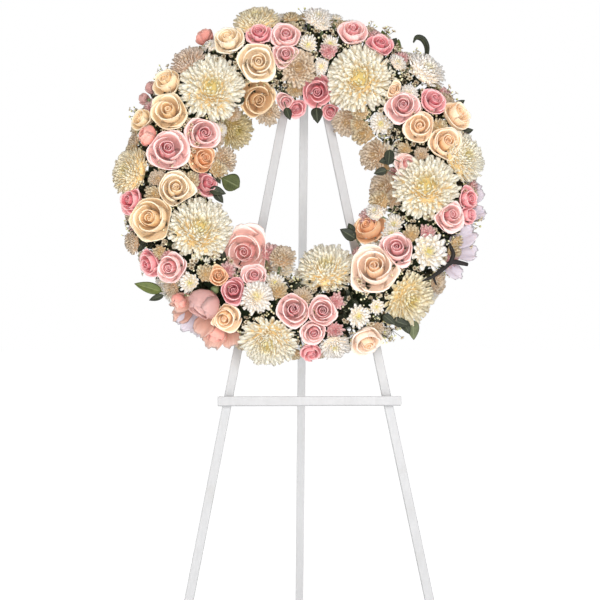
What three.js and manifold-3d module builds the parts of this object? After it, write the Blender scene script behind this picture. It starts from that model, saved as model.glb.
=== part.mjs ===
// Funeral wreath of fresh roses and chrysanthemums hung on a white wooden tripod easel.
//
// Millimetres, +Z up, the wreath faces -Y. The origin is on the floor, under the middle of the
// bounding box. The two front legs lean back in one plane; everything that leans with them is
// built in the "easel frame": x across, y straight through the plane (backwards positive) and
// z up along it. The back leg hangs from a strap hinge and has a frame of its own.

import * as THREE from "three";
import { mergeVertices } from "three/addons/utils/BufferGeometryUtils.js";
import Module from "manifold-3d";

const wasm = await Module();
wasm.setup();

const DEG = Math.PI / 180;
const GAP = 0.3;

// Easel
const LEAN = 13;
const BACK_LEAN = 16;
const LEG_WIDTH = 14.5;
const LEG_THICK = 11;
const APEX = 1250;
const FOOT_HALF_SPREAD = 246;
const BAR_HEIGHT = 608;
const BAR_TALL = 15;
const BAR_THICK = 11;
const BAR_LEFT = -146;
const BAR_RIGHT = 151;
const BOARD_BOTTOM = 1165;
const BOARD_TOP = 1272;
const BOARD_HALF_BOTTOM = 35;
const BOARD_HALF_TOP = 17;
const BOARD_THICK = 12;

// Hinge
const PIN_HEIGHT = 1205;
const PIN_OFFSET = 3.4;
const PIN_RADIUS = 1.3;
const KNUCKLE_RADIUS = 3;
const KNUCKLE_BORE = 1.65;
const LEAF_NEAR = 1.7;
const LEAF_FAR = 3.1;
const PLATE_HALF_WIDTH = 14;
const PLATE_DROP = 24;
const STRAP_HALF_WIDTH = 4.9;
const STRAP_DROP = 40;
const BEVEL_TIP = 30;

// Wreath base
const RING_HEIGHT = 970;
const RING_SHIFT = -10;
const RING_RADIUS = 221;
const TUBE_CENTRE = 28;
const TRAY_BACK = 5.9;
const TRAY_FLOOR = 2.5;
const TRAY_WALL = 2;
const TRAY_RIM = 22;
const FOAM_HALF_WIDTH = 30.1;
const FOAM_SHOULDER = 34;
const FOAM_FRONT = 53;
const RING_SEGMENTS = 32;

// Hanging hardware
const HOOK_HEIGHT = 1262;
const HOOK_WIRE = 1.6;
const LOOP_WIRE = 1.0;
const LOOP_BEND = 6;
const LOOP_PLANE = 12;
const LOOP_FOOT = 1196;

// Flowers
const STEM_RADIUS = 2.2;
const STEM_END = 14;
const STEM_HOLE = 0.4;
const FORK = 36;
const CELL_GAP = 0.17;
const BACK_LIMIT = 8;

const WHITE_PAINT = 0xf1f1ef;
const ZINC = 0xb9bcbf;

function material(color, roughness, metalness = 0) {
  return new THREE.MeshStandardMaterial({ color, roughness, metalness });
}

// ---- solids -------------------------------------------------------------------------------

function signedVolume(geometry) {
  const p = geometry.attributes.position;
  const index = geometry.index;
  const a = new THREE.Vector3();
  const b = new THREE.Vector3();
  const c = new THREE.Vector3();
  let volume = 0;
  for (let i = 0; i < index.count; i += 3) {
    a.fromBufferAttribute(p, index.getX(i));
    b.fromBufferAttribute(p, index.getX(i + 1));
    c.fromBufferAttribute(p, index.getX(i + 2));
    volume += a.dot(b.cross(c)) / 6;
  }
  return volume;
}

// Position-only geometry with shared vertices, slivers dropped and every face pointing out.
function closed(geometry) {
  const bare = geometry.clone();
  bare.deleteAttribute("normal");
  bare.deleteAttribute("uv");
  const merged = mergeVertices(bare, 1e-4);
  const source = merged.index.array;
  const kept = [];
  for (let i = 0; i < source.length; i += 3) {
    const [a, b, c] = [source[i], source[i + 1], source[i + 2]];
    if (a !== b && b !== c && c !== a) {
      kept.push(a, b, c);
    }
  }
  merged.setIndex(kept);
  if (signedVolume(merged) < 0) {
    for (let i = 0; i < kept.length; i += 3) {
      const held = kept[i];
      kept[i] = kept[i + 1];
      kept[i + 1] = held;
    }
    merged.setIndex(kept);
  }
  return merged;
}

function toManifold(geometry) {
  const vertProperties = new Float32Array(geometry.attributes.position.array);
  const triVerts = new Uint32Array(geometry.index.array);
  return new wasm.Manifold(new wasm.Mesh({ numProp: 3, vertProperties, triVerts }));
}

function toGeometry(manifold) {
  const mesh = manifold.getMesh();
  const geometry = new THREE.BufferGeometry();
  geometry.setAttribute("position", new THREE.BufferAttribute(mesh.vertProperties, 3));
  geometry.setIndex(Array.from(mesh.triVerts));
  return closed(geometry);
}

// The largest connected body, without the loose petal tips a trim can leave behind.
function mainBody(geometry) {
  const index = Array.from(geometry.index.array);
  const parent = Array.from({ length: geometry.attributes.position.count }, (_, i) => i);
  const find = (i) => {
    let at = i;
    while (parent[at] !== at) {
      parent[at] = parent[parent[at]];
      at = parent[at];
    }
    return at;
  };
  for (let i = 0; i < index.length; i += 3) {
    parent[find(index[i])] = find(index[i + 1]);
    parent[find(index[i + 1])] = find(index[i + 2]);
  }
  const bodies = new Map();
  for (let i = 0; i < index.length; i += 3) {
    const key = find(index[i]);
    if (!bodies.has(key)) {
      bodies.set(key, []);
    }
    bodies.get(key).push(index[i], index[i + 1], index[i + 2]);
  }
  const sized = Array.from(bodies.values(), (list) => {
    const part = geometry.clone();
    part.setIndex(list);
    return { part, volume: signedVolume(part) };
  });
  sized.sort((a, b) => b.volume - a.volume);
  return closed(sized[0].part);
}

function named(name, geometry, look) {
  const mesh = new THREE.Mesh(closed(geometry), look);
  mesh.name = name;
  return mesh;
}

// The mesh's solid in its parent's frame.
function solidOf(mesh) {
  mesh.updateMatrix();
  return toManifold(closed(mesh.geometry.clone().applyMatrix4(mesh.matrix)));
}

function box(x0, x1, y0, y1, z0, z1) {
  const geometry = new THREE.BoxGeometry(x1 - x0, y1 - y0, z1 - z0);
  return closed(geometry.translate((x0 + x1) / 2, (y0 + y1) / 2, (z0 + z1) / 2));
}

// A bar running along -> its two ends cut by planes { normal, point }.
function cutBar(centre, along, side, depth, lowPlane, highPlane) {
  const corners = [];
  for (const plane of [lowPlane, highPlane]) {
    for (const [u, v] of [[-1, -1], [1, -1], [1, 1], [-1, 1]]) {
      const start = centre.clone().addScaledVector(side, u).addScaledVector(depth, v);
      const reach = plane.point.clone().sub(start).dot(plane.normal) / along.dot(plane.normal);
      corners.push(start.addScaledVector(along, reach));
    }
  }
  const geometry = new THREE.BufferGeometry().setFromPoints(corners);
  const quads = [[0, 1, 2, 3], [7, 6, 5, 4], [0, 4, 5, 1], [1, 5, 6, 2], [2, 6, 7, 3], [3, 7, 4, 0]];
  geometry.setIndex(quads.flatMap(([a, b, c, d]) => [a, b, c, a, c, d]));
  return closed(geometry);
}

function rod(radius, length, sides) {
  return closed(new THREE.CylinderGeometry(radius, radius, length, sides));
}

// Round wire along a curve.
function wire(points, radius, sides, steps) {
  const section = new THREE.Shape();
  for (let i = 0; i < sides; i += 1) {
    const angle = (2 * Math.PI * i) / sides;
    const x = radius * Math.cos(angle);
    const y = radius * Math.sin(angle);
    if (i === 0) {
      section.moveTo(x, y);
    } else {
      section.lineTo(x, y);
    }
  }
  section.closePath();
  const extrudePath = new THREE.CatmullRomCurve3(points, false, "centripetal");
  return closed(new THREE.ExtrudeGeometry(section, { steps, bevelEnabled: false, extrudePath }));
}

// Pan-head screw: the head stands on y = 0 and the shank runs towards -y.
function screwProfile(shank, length, head, height) {
  return [
    new THREE.Vector2(0, -length),
    new THREE.Vector2(shank * 0.5, -length),
    new THREE.Vector2(shank, -length + shank),
    new THREE.Vector2(shank, 0),
    new THREE.Vector2(head, 0),
    new THREE.Vector2(head * 0.9, height * 0.6),
    new THREE.Vector2(head * 0.5, height),
    new THREE.Vector2(0, height),
  ];
}

function screw(name, shank, length, head, height) {
  const geometry = new THREE.LatheGeometry(screwProfile(shank, length, head, height), 6);
  return named(name, geometry, material(ZINC, 0.35, 1));
}

// ---- easel --------------------------------------------------------------------------------

const easel = new THREE.Group();
easel.rotation.x = -LEAN * DEG;

const halfThick = LEG_THICK / 2;
const floorInEasel = {
  normal: new THREE.Vector3(0, -Math.sin(LEAN * DEG), Math.cos(LEAN * DEG)),
  point: new THREE.Vector3(0, 0, 0),
};
const apexCut = {
  normal: new THREE.Vector3(0, 0, 1),
  point: new THREE.Vector3(0, 0, APEX),
};

function legCentreX(height) {
  const apexX = (LEG_WIDTH / 2) * 1.02 + GAP / 2;
  return apexX + (FOOT_HALF_SPREAD - apexX) * (1 - height / APEX);
}

function frontLeg(name, hand) {
  const foot = new THREE.Vector3(hand * legCentreX(0), 0, 0);
  const top = new THREE.Vector3(hand * legCentreX(APEX), 0, APEX);
  const along = top.clone().sub(foot).normalize();
  const depth = new THREE.Vector3(0, halfThick, 0);
  const side = along.clone().cross(new THREE.Vector3(0, 1, 0)).setLength(LEG_WIDTH / 2);
  const geometry = cutBar(foot, along, side, depth, floorInEasel, apexCut);
  return named(name, geometry, material(WHITE_PAINT, 0.45));
}

const frontLegLeft = frontLeg("front_leg_left", -1);
const frontLegRight = frontLeg("front_leg_right", 1);

const barBack = -halfThick - GAP;
const crossbar = named(
  "crossbar",
  box(BAR_LEFT, BAR_RIGHT, barBack - BAR_THICK, barBack,
    BAR_HEIGHT - BAR_TALL / 2, BAR_HEIGHT + BAR_TALL / 2),
  material(WHITE_PAINT, 0.45),
);

const boardFront = halfThick + GAP;
const boardBack = boardFront + BOARD_THICK;
const boardOutline = new THREE.Shape([
  new THREE.Vector2(-BOARD_HALF_BOTTOM, BOARD_BOTTOM),
  new THREE.Vector2(BOARD_HALF_BOTTOM, BOARD_BOTTOM),
  new THREE.Vector2(BOARD_HALF_TOP, BOARD_TOP),
  new THREE.Vector2(-BOARD_HALF_TOP, BOARD_TOP),
]);
const boardGeometry = new THREE.ExtrudeGeometry(boardOutline, {
  depth: BOARD_THICK,
  bevelEnabled: false,
});
boardGeometry.rotateX(90 * DEG).translate(0, boardBack, 0);
const headBoard = named("head_board", boardGeometry, material(WHITE_PAINT, 0.5));

// The crossbar is screwed on from behind, through each front leg.
const BAR_SCREW_SHANK = 1.6;
const BAR_SCREW_LENGTH = 19;
const barScrews = [-1, 1].map((hand) => {
  const name = hand < 0 ? "crossbar_screw_left" : "crossbar_screw_right";
  const mesh = screw(name, BAR_SCREW_SHANK, BAR_SCREW_LENGTH, 3.6, 1.8);
  mesh.position.set(hand * legCentreX(BAR_HEIGHT), halfThick + GAP, BAR_HEIGHT);
  return mesh;
});

// ---- hinge and back leg -------------------------------------------------------------------

// Frame of the moving half: origin on the pin, z up along the back leg, y behind it.
const pinY = boardBack + PIN_OFFSET;
const backFrame = new THREE.Group();
backFrame.position.set(0, pinY, PIN_HEIGHT);
backFrame.rotation.x = (LEAN + BACK_LEAN) * DEG;

function knuckle(x0, x1) {
  const barrel = rod(KNUCKLE_RADIUS, x1 - x0, 12).rotateZ(90 * DEG);
  return toManifold(closed(barrel.translate((x0 + x1) / 2, 0, 0)));
}

function drilled(solid, x0, x1) {
  const bore = rod(KNUCKLE_BORE, x1 - x0 + 4, 12).rotateZ(90 * DEG);
  return solid.subtract(toManifold(closed(bore.translate((x0 + x1) / 2, 0, 0))));
}

// Fixed plate on the board: two outer knuckles over a wide leaf, notched for the middle one.
const notch = box(-STRAP_HALF_WIDTH - GAP, STRAP_HALF_WIDTH + GAP, -5, 5, -4.2, 4);
const plateLeaf = box(-PLATE_HALF_WIDTH, PLATE_HALF_WIDTH, -LEAF_FAR, -LEAF_NEAR, -PLATE_DROP, 0);
const plateSolid = drilled(
  toManifold(plateLeaf)
    .add(knuckle(-PLATE_HALF_WIDTH, -STRAP_HALF_WIDTH - GAP))
    .add(knuckle(STRAP_HALF_WIDTH + GAP, PLATE_HALF_WIDTH))
    .subtract(toManifold(notch)),
  -PLATE_HALF_WIDTH, PLATE_HALF_WIDTH,
);

// Moving strap down the front of the back leg, with the middle knuckle.
const strapLeaf = box(-STRAP_HALF_WIDTH, STRAP_HALF_WIDTH, LEAF_NEAR, LEAF_FAR, -STRAP_DROP, 0);
const strapSolid = drilled(
  toManifold(strapLeaf).add(knuckle(-STRAP_HALF_WIDTH, STRAP_HALF_WIDTH)),
  -STRAP_HALF_WIDTH, STRAP_HALF_WIDTH,
);

const pinProfile = [
  [0, -17.2], [2.4, -17.2], [2.4, -15.2], [PIN_RADIUS, -14.6], [PIN_RADIUS, 14.6],
  [2.4, 15.2], [2.4, 17.2], [0, 17.2],
].map(([r, y]) => new THREE.Vector2(r, y));
const pinGeometry = new THREE.LatheGeometry(pinProfile, 12).rotateZ(90 * DEG);
const hingePin = named("hinge_pin", pinGeometry, material(ZINC, 0.3, 1));
hingePin.position.set(0, pinY, PIN_HEIGHT);

const plateScrews = [-1, 1].map((hand) => {
  const name = hand < 0 ? "plate_screw_left" : "plate_screw_right";
  const mesh = screw(name, 1.2, 9, 2.6, 1.1);
  mesh.position.set(hand * 9.4, pinY - LEAF_NEAR + GAP, PIN_HEIGHT - 14);
  return mesh;
});
const strapScrews = [-14, -31].map((drop, i) => {
  const mesh = screw(`strap_screw_${i + 1}`, 1.2, 9, 2.6, 1.1);
  mesh.rotation.x = 180 * DEG;
  mesh.position.set(0, LEAF_NEAR - GAP, drop);
  return mesh;
});

// Clearance holes: the screw's own shape, a little larger.
const HOLE_GROWTH = 0.4;
function holeFor(mesh, shank, length) {
  const hole = rod(shank + HOLE_GROWTH, length + 3.5, 6);
  mesh.updateMatrix();
  hole.translate(0, (3.5 - length) / 2 - HOLE_GROWTH, 0);
  return toManifold(closed(hole.applyMatrix4(mesh.matrix)));
}

function drillFor(mesh, screws, shank, length) {
  let solid = solidOf(mesh);
  for (const item of screws) {
    solid = solid.subtract(holeFor(item, shank, length));
  }
  mesh.geometry = toGeometry(solid);
  mesh.position.set(0, 0, 0);
  mesh.rotation.set(0, 0, 0);
}

const plateInEasel = toGeometry(plateSolid).translate(0, pinY, PIN_HEIGHT);
const hingePlate = named("hinge_plate", plateInEasel, material(ZINC, 0.4, 1));
const hingeStrap = named("hinge_strap", toGeometry(strapSolid), material(ZINC, 0.4, 1));

// The back leg's top is bevelled so that it bears flat on the board when the leg is open.
const legFront = LEAF_FAR + GAP;
const openAngle = (LEAN + BACK_LEAN) * DEG;
const pinWorldZ = PIN_HEIGHT * Math.cos(LEAN * DEG) - pinY * Math.sin(LEAN * DEG);
const footPlane = {
  normal: new THREE.Vector3(0, Math.sin(BACK_LEAN * DEG), Math.cos(BACK_LEAN * DEG)),
  point: new THREE.Vector3(0, 0, -pinWorldZ / Math.cos(BACK_LEAN * DEG)),
};
const upInBack = new THREE.Vector3(0, Math.sin(openAngle), Math.cos(openAngle));
const tipPlane = { normal: upInBack, point: upInBack.clone().multiplyScalar(BEVEL_TIP) };
const backBar = cutBar(
  new THREE.Vector3(0, legFront + halfThick, 0),
  new THREE.Vector3(0, 0, 1),
  new THREE.Vector3(LEG_WIDTH / 2, 0, 0),
  new THREE.Vector3(0, halfThick, 0),
  footPlane,
  tipPlane,
);
const bevelCut = box(-20, 20, -60, -PIN_OFFSET + GAP, -20, 80).rotateX(-openAngle);
const backLegSolid = toManifold(backBar).subtract(toManifold(closed(bevelCut)));
const backLeg = named("back_leg", toGeometry(backLegSolid), material(WHITE_PAINT, 0.45));

drillFor(frontLegLeft, [barScrews[0]], BAR_SCREW_SHANK, BAR_SCREW_LENGTH);
drillFor(frontLegRight, [barScrews[1]], BAR_SCREW_SHANK, BAR_SCREW_LENGTH);
drillFor(crossbar, barScrews, BAR_SCREW_SHANK, BAR_SCREW_LENGTH);
drillFor(headBoard, plateScrews, 1.2, 9);
drillFor(hingePlate, plateScrews, 1.2, 9);
drillFor(hingeStrap, strapScrews, 1.2, 9);
drillFor(backLeg, strapScrews, 1.2, 9);

// ---- wreath base --------------------------------------------------------------------------

function ringProfile(points) {
  const profile = points.map(([radius, front]) => new THREE.Vector2(radius, -front));
  profile.push(profile[0].clone());
  return new THREE.LatheGeometry(profile, RING_SEGMENTS).translate(RING_SHIFT, 0, RING_HEIGHT);
}

const foamInner = RING_RADIUS - FOAM_HALF_WIDTH;
const foamOuter = RING_RADIUS + FOAM_HALF_WIDTH;
const foamBack = TRAY_BACK + TRAY_FLOOR + GAP;
const trayInner = foamInner - GAP;
const trayOuter = foamOuter + GAP;
const traySolid = toManifold(closed(ringProfile([
  [trayInner - TRAY_WALL, TRAY_BACK],
  [trayOuter + TRAY_WALL, TRAY_BACK],
  [trayOuter + TRAY_WALL, TRAY_RIM],
  [trayOuter, TRAY_RIM],
  [trayOuter, TRAY_BACK + TRAY_FLOOR],
  [trayInner, TRAY_BACK + TRAY_FLOOR],
  [trayInner, TRAY_RIM],
  [trayInner - TRAY_WALL, TRAY_RIM],
])));
let foamSolid = toManifold(closed(ringProfile([
  [foamInner, foamBack],
  [foamOuter, foamBack],
  [foamOuter, FOAM_SHOULDER],
  [RING_RADIUS + FOAM_HALF_WIDTH * 0.45, FOAM_FRONT],
  [RING_RADIUS - FOAM_HALF_WIDTH * 0.45, FOAM_FRONT],
  [foamInner, FOAM_SHOULDER],
])));

// ---- hook and hanging loop ----------------------------------------------------------------

const hookPath = [
  [0, boardFront + 6, HOOK_HEIGHT],
  [0, 0, HOOK_HEIGHT],
  [0, -LOOP_PLANE, HOOK_HEIGHT],
  [0, -LOOP_PLANE - 4.5, HOOK_HEIGHT + 1.2],
  [0, -LOOP_PLANE - 6.5, HOOK_HEIGHT + 4.5],
  [0, -LOOP_PLANE - 6.8, HOOK_HEIGHT + 9],
].map((p) => new THREE.Vector3(...p));
const hook = named("hanging_hook", wire(hookPath, HOOK_WIRE, 8, 14), material(ZINC, 0.35, 1));

const loopTop = HOOK_HEIGHT + HOOK_WIRE + GAP + LOOP_WIRE + 0.1;
const loopCentre = loopTop - LOOP_BEND;
const loopPath = [[-LOOP_BEND, LOOP_FOOT], [-LOOP_BEND, (LOOP_FOOT + loopCentre) / 2]];
for (let angle = 180; angle >= 0; angle -= 30) {
  loopPath.push([
    LOOP_BEND * Math.cos(angle * DEG),
    loopCentre + LOOP_BEND * Math.sin(angle * DEG),
  ]);
}
loopPath.push([LOOP_BEND, (LOOP_FOOT + loopCentre) / 2], [LOOP_BEND, LOOP_FOOT]);
const loopPoints = loopPath.map(([x, z]) => new THREE.Vector3(x, -LOOP_PLANE, z));
const loopMesh = named("hanging_loop", wire(loopPoints, LOOP_WIRE, 6, 22), material(0x6f7a6a, 0.5, 1));

const boardWithHook = solidOf(headBoard).subtract(
  toManifold(closed(rod(HOOK_WIRE + HOLE_GROWTH, 14, 8).translate(0, boardFront, 0)
    .translate(0, 0, HOOK_HEIGHT))),
);
headBoard.geometry = toGeometry(boardWithHook);

for (const side of [-1, 1]) {
  const channel = rod(LOOP_WIRE + HOLE_GROWTH, 40, 6).rotateX(90 * DEG);
  const cut = toManifold(closed(
    channel.translate(side * LOOP_BEND, -LOOP_PLANE, LOOP_FOOT - 1 + 20),
  ));
  foamSolid = foamSolid.subtract(cut);
}
let trayCut = traySolid;
for (const side of [-1, 1]) {
  const channel = rod(LOOP_WIRE + HOLE_GROWTH, 14, 6).rotateX(90 * DEG);
  trayCut = trayCut.subtract(toManifold(closed(
    channel.translate(side * LOOP_BEND, -LOOP_PLANE, RING_HEIGHT + trayOuter),
  )));
}
const tray = named("wreath_tray", toGeometry(trayCut), material(0x2f4a35, 0.55));

// ---- flowers ------------------------------------------------------------------------------

// Every bloom stands on a stem that points away from the tube's centre circle.
//   ring: angle round the wreath, 0 at the right, 90 at the top
//   tube: angle round the tube, 0 straight out of the front, + outwards, - towards the hole
//   size: radius of the bloom, lift: extra height above the others
const ROSE_REACH = 74;
const MUM_REACH = 68;
const CREAM = 0xefe3cc;
const PEACH = 0xe9c9ac;
const PINK = 0xe3a9b2;
const MAUVE = 0xc98f98;
const WHITE = 0xf4f2e6;
const IVORY = 0xf0ebd2;

function bloom(kind, ring, tube, size, lift = 0) {
  return { kind, ring, tube, size, lift };
}

const FLOWERS = [
  ["mum_top_left", IVORY, [bloom("mum", 134, -6, 56)]],
  ["mum_top_right", IVORY, [bloom("mum", 60, -20, 58)]],
  ["mum_right", IVORY, [bloom("mum", 357, -13, 56)]],
  ["mum_left", IVORY, [bloom("mum", 206, -31, 55)]],
  ["mum_bottom_inner", IVORY, [bloom("mum", 286, -62, 50, 8)]],
  ["mum_bottom_right", IVORY, [bloom("mum", 311, 45, 50)]],
  ["mum_bottom_left", IVORY, [bloom("mum", 257, 51, 52, 9)]],
  ["mum_crest", IVORY, [bloom("mum", 104, 72, 44, 13)]],
  ["mum_edge_right", IVORY, [bloom("mum", 9, 66, 50, 8)]],
  ["mum_edge_left", IVORY, [bloom("mum", 175, 72, 46, 8)]],
  ["mum_inner_left", IVORY, [bloom("mum", 133, -64, 38, 6)]],
  ["mum_edge_top_left", IVORY, [bloom("mum", 132, 74, 37, 6)]],
  ["small_mum_bottom", WHITE, [bloom("small_mum", 249, -10, 29)]],
  ["small_mum_top", WHITE, [bloom("small_mum", 91, -26, 33)]],
  ["small_mum_edge_top_right", WHITE, [bloom("small_mum", 43, 68, 40, 4)]],
  ["small_mum_crest", WHITE, [bloom("small_mum", 84, 52, 29, 9)]],
  ["small_mum_inner_right", WHITE, [bloom("small_mum", 33, -50, 25)]],
  ["small_mum_lower_right", WHITE, [bloom("small_mum", 330, 16, 33)]],
  ["small_mum_edge_bottom", WHITE, [
    bloom("small_mum", 281, 64, 29, 8), bloom("small_mum", 292, 20, 25),
  ]],
  ["rose_cream_top", CREAM, [bloom("rose", 117, 37, 25), bloom("rose", 110, -10, 30)]],
  ["rose_cream_inner_top", CREAM, [bloom("rose", 116, -64, 30)]],
  ["rose_cream_upper_left", CREAM, [bloom("rose", 153, 20, 28), bloom("rose", 143, 47, 25)]],
  ["rose_cream_left", CREAM, [bloom("rose", 185, -10, 29), bloom("rose", 195, 27, 35)]],
  ["rose_cream_right", CREAM, [
    bloom("rose", 24, -5, 25), bloom("rose", 14, 20, 30), bloom("rose", 24, 55, 25),
  ]],
  ["rose_cream_lower_right", CREAM, [bloom("rose", 308, -25, 37)]],
  ["rose_peach_inner_right", PEACH, [bloom("rose", 326, -62, 25)]],
  ["rose_peach_bottom_left", PEACH, [bloom("rose", 243, 33, 27)]],
  ["rose_peach_inner_left", PEACH, [bloom("rose", 166, -50, 23)]],
  ["rose_cream_bottom", CREAM, [bloom("rose", 293, 66, 29, 6)]],
  ["rose_pink_top", PINK, [
    bloom("rose", 96, 17, 24), bloom("rose", 106, 28, 20), bloom("rose", 97, -8, 22),
  ]],
  ["rose_pink_top_right", PINK, [bloom("rose", 71, 36, 24), bloom("rose", 60, 34, 21)]],
  ["rose_pink_inner_top", PINK, [bloom("rose", 80, -64, 26)]],
  ["rose_pink_right", PINK, [bloom("rose", 36, -9, 27), bloom("rose", 31, 28, 21)]],
  ["rose_pink_upper_left", PINK, [bloom("rose", 154, -36, 27), bloom("rose", 168, 3, 32)]],
  ["rose_pink_edge_left", PINK, [bloom("rose", 186, 55, 22)]],
  ["rose_pink_left", PINK, [bloom("rose", 208, 60, 21), bloom("rose", 214, 32, 24)]],
  ["rose_pink_large", PINK, [bloom("rose", 231, -62, 38, 2)]],
  ["rose_pink_lower_left", PINK, [bloom("rose", 239, -3, 22), bloom("rose", 244, -32, 20)]],
  ["rose_pink_bottom", PINK, [
    bloom("rose", 266, -3, 26), bloom("rose", 278, 0, 24), bloom("rose", 274, 27, 20),
  ]],
  ["rose_pink_lower_right", PINK, [bloom("rose", 323, -22, 28)]],
  ["rose_pink_edge_right", PINK, [
    bloom("rose", 346, 24, 24), bloom("rose", 352, 52, 20), bloom("rose", 344, 76, 16),
  ]],
  ["rose_mauve_left", MAUVE, [
    bloom("rose", 232, 31, 33), bloom("rose", 224, 58, 17), bloom("rose", 240, 70, 24),
  ]],
];

// Each kind is one closed skin from the stem's end to the middle of the face:
// rows are [radius, height, petal ripple] in bloom radii about the bloom's centre.
// Fullness is how much wider a head would open if its neighbours let it.
const SKINS = {
  mum: {
    fullness: 1.14,
    sides: 12,
    reach: MUM_REACH,
    rows: [[0.30, -0.50, 0], [0.96, -0.12, 0.05], [0.74, 0.10, -0.05], [0.40, 0.21, 0.04]],
    crown: 0.17,
  },
  small_mum: {
    fullness: 1.3,
    sides: 10,
    reach: ROSE_REACH,
    rows: [[0.25, -0.45, 0], [0.96, -0.02, 0.07], [0.60, 0.16, -0.05]],
    crown: 0.22,
  },
  rose: {
    fullness: 1.36,
    sides: 8,
    reach: ROSE_REACH,
    rows: [[0.28, -0.80, 0], [0.97, -0.10, 0.04], [0.84, 0.24, 0.05], [0.54, 0.16, -0.04]],
    crown: 0.34,
  },
};

function bloomFrame(ring, tube) {
  const r = ring * DEG;
  const t = tube * DEG;
  const outward = new THREE.Vector3(Math.cos(r), 0, Math.sin(r));
  const root = outward.clone().multiplyScalar(RING_RADIUS);
  root.add(new THREE.Vector3(RING_SHIFT, -TUBE_CENTRE, RING_HEIGHT));
  const axis = outward.clone().multiplyScalar(Math.sin(t));
  axis.y -= Math.cos(t);
  return { root, axis };
}

function along(root, axis, distance) {
  return root.clone().addScaledVector(axis, distance);
}

function bloomCentre(item) {
  const { root, axis } = bloomFrame(item.ring, item.tube);
  return along(root, axis, SKINS[item.kind].reach + item.lift);
}

function alignTo(axis) {
  return new THREE.Quaternion().setFromUnitVectors(new THREE.Vector3(0, 0, 1), axis);
}

// Head without its pedicel, in the easel frame.
function head(item) {
  const { root, axis } = bloomFrame(item.ring, item.tube);
  const skin = SKINS[item.kind];
  const reach = skin.reach + item.lift;
  const points = [new THREE.Vector3(0, 0, 0)];
  const rows = skin.rows;
  const size = item.size * skin.fullness;
  rows.forEach(([radius, height, ripple], k) => {
    for (let i = 0; i < skin.sides; i += 1) {
      const angle = (2 * Math.PI * i) / skin.sides;
      const wave = i % 2 === 0 ? ripple : -ripple;
      const r = (radius + wave) * size;
      points.push(new THREE.Vector3(r * Math.cos(angle), r * Math.sin(angle), height * size));
    }
    if (k === 0) {
      points[0].z = height * size;
    }
  });
  points.push(new THREE.Vector3(0, 0, skin.crown * size));
  const index = [];
  const n = skin.sides;
  const last = points.length - 1;
  for (let i = 0; i < n; i += 1) {
    const j = (i + 1) % n;
    index.push(0, 1 + j, 1 + i);
    for (let k = 0; k < rows.length - 1; k += 1) {
      const a = 1 + k * n + i;
      const b = 1 + k * n + j;
      index.push(a, b, b + n, a, b + n, a + n);
    }
    index.push(last, last - n + i, last - n + j);
  }
  const geometry = new THREE.BufferGeometry().setFromPoints(points);
  geometry.setIndex(index);
  geometry.applyQuaternion(alignTo(axis));
  const centre = along(root, axis, reach);
  geometry.translate(centre.x, centre.y, centre.z);
  return toManifold(closed(geometry));
}

function stem(from, to, radius) {
  const length = from.distanceTo(to);
  const geometry = rod(radius, length, 5).rotateX(90 * DEG);
  geometry.applyQuaternion(alignTo(to.clone().sub(from).normalize()));
  const middle = from.clone().add(to).multiplyScalar(0.5);
  return toManifold(closed(geometry.translate(middle.x, middle.y, middle.z)));
}

// Block that fills everything beyond a plane.
const BLOCK = 260;
function beyond(point, normal) {
  const geometry = new THREE.BoxGeometry(BLOCK, BLOCK, BLOCK).translate(0, 0, BLOCK / 2);
  geometry.applyQuaternion(alignTo(normal));
  return toManifold(closed(geometry.translate(point.x, point.y, point.z)));
}

// Neighbouring heads press against one another and meet in a flat face, each in its own cell.
function trimToCell(solid, item, others) {
  const centre = bloomCentre(item);
  let trimmed = solid;
  for (const other of others) {
    const target = bloomCentre(other);
    const offset = target.clone().sub(centre);
    const distance = offset.length();
    if (distance < (item.size + other.size) * 1.36 + 8) {
      const share = (distance ** 2 + item.size ** 2 - other.size ** 2) / (2 * distance);
      const normal = offset.normalize();
      trimmed = trimmed.subtract(beyond(along(centre, normal, share - CELL_GAP), normal));
    }
  }
  return trimmed;
}

const behindWreath = beyond(
  new THREE.Vector3(0, -BACK_LIMIT, RING_HEIGHT),
  new THREE.Vector3(0, 1, 0),
);

// The stem in the foam, and from its fork a pedicel into the heart of each head.
function stems(blooms, growth) {
  const middle = bloomFrame(
    blooms.reduce((sum, item) => sum + item.ring, 0) / blooms.length,
    blooms.reduce((sum, item) => sum + item.tube, 0) / blooms.length,
  );
  const fork = along(middle.root, middle.axis, blooms.length > 1 ? FORK : FORK - 2);
  const foot = along(middle.root, middle.axis, STEM_END - growth);
  const radius = STEM_RADIUS + growth;
  if (blooms.length === 1) {
    return stem(foot, bloomCentre(blooms[0]), radius);
  }
  return blooms.reduce(
    (solid, item) => solid.add(stem(fork, bloomCentre(item), radius)),
    stem(foot, fork, radius),
  );
}

const nearby = (blooms, others) => blooms.some((item) => others.some((other) => (
  bloomCentre(item).distanceTo(bloomCentre(other)) < item.size + other.size + 60
)));

const flowerMeshes = FLOWERS.map(([name, colour, blooms]) => {
  const others = FLOWERS.filter((entry) => entry[0] !== name);
  const otherBlooms = others.flatMap((entry) => entry[2]);
  let solid = trimToCell(head(blooms[0]), blooms[0], otherBlooms);
  for (const item of blooms.slice(1)) {
    solid = solid.add(trimToCell(head(item), item, otherBlooms));
  }
  for (const entry of others) {
    if (nearby(blooms, entry[2])) {
      solid = solid.subtract(stems(entry[2], STEM_HOLE));
    }
  }
  solid = solid.add(stems(blooms, 0)).subtract(behindWreath);
  foamSolid = foamSolid.subtract(stems(blooms, STEM_HOLE));
  return named(name, mainBody(toGeometry(solid)), material(colour, 0.8));
});

const foam = named("foam_ring", toGeometry(foamSolid), material(0x39512f, 0.95));

// ---- assembly -----------------------------------------------------------------------------

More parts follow.
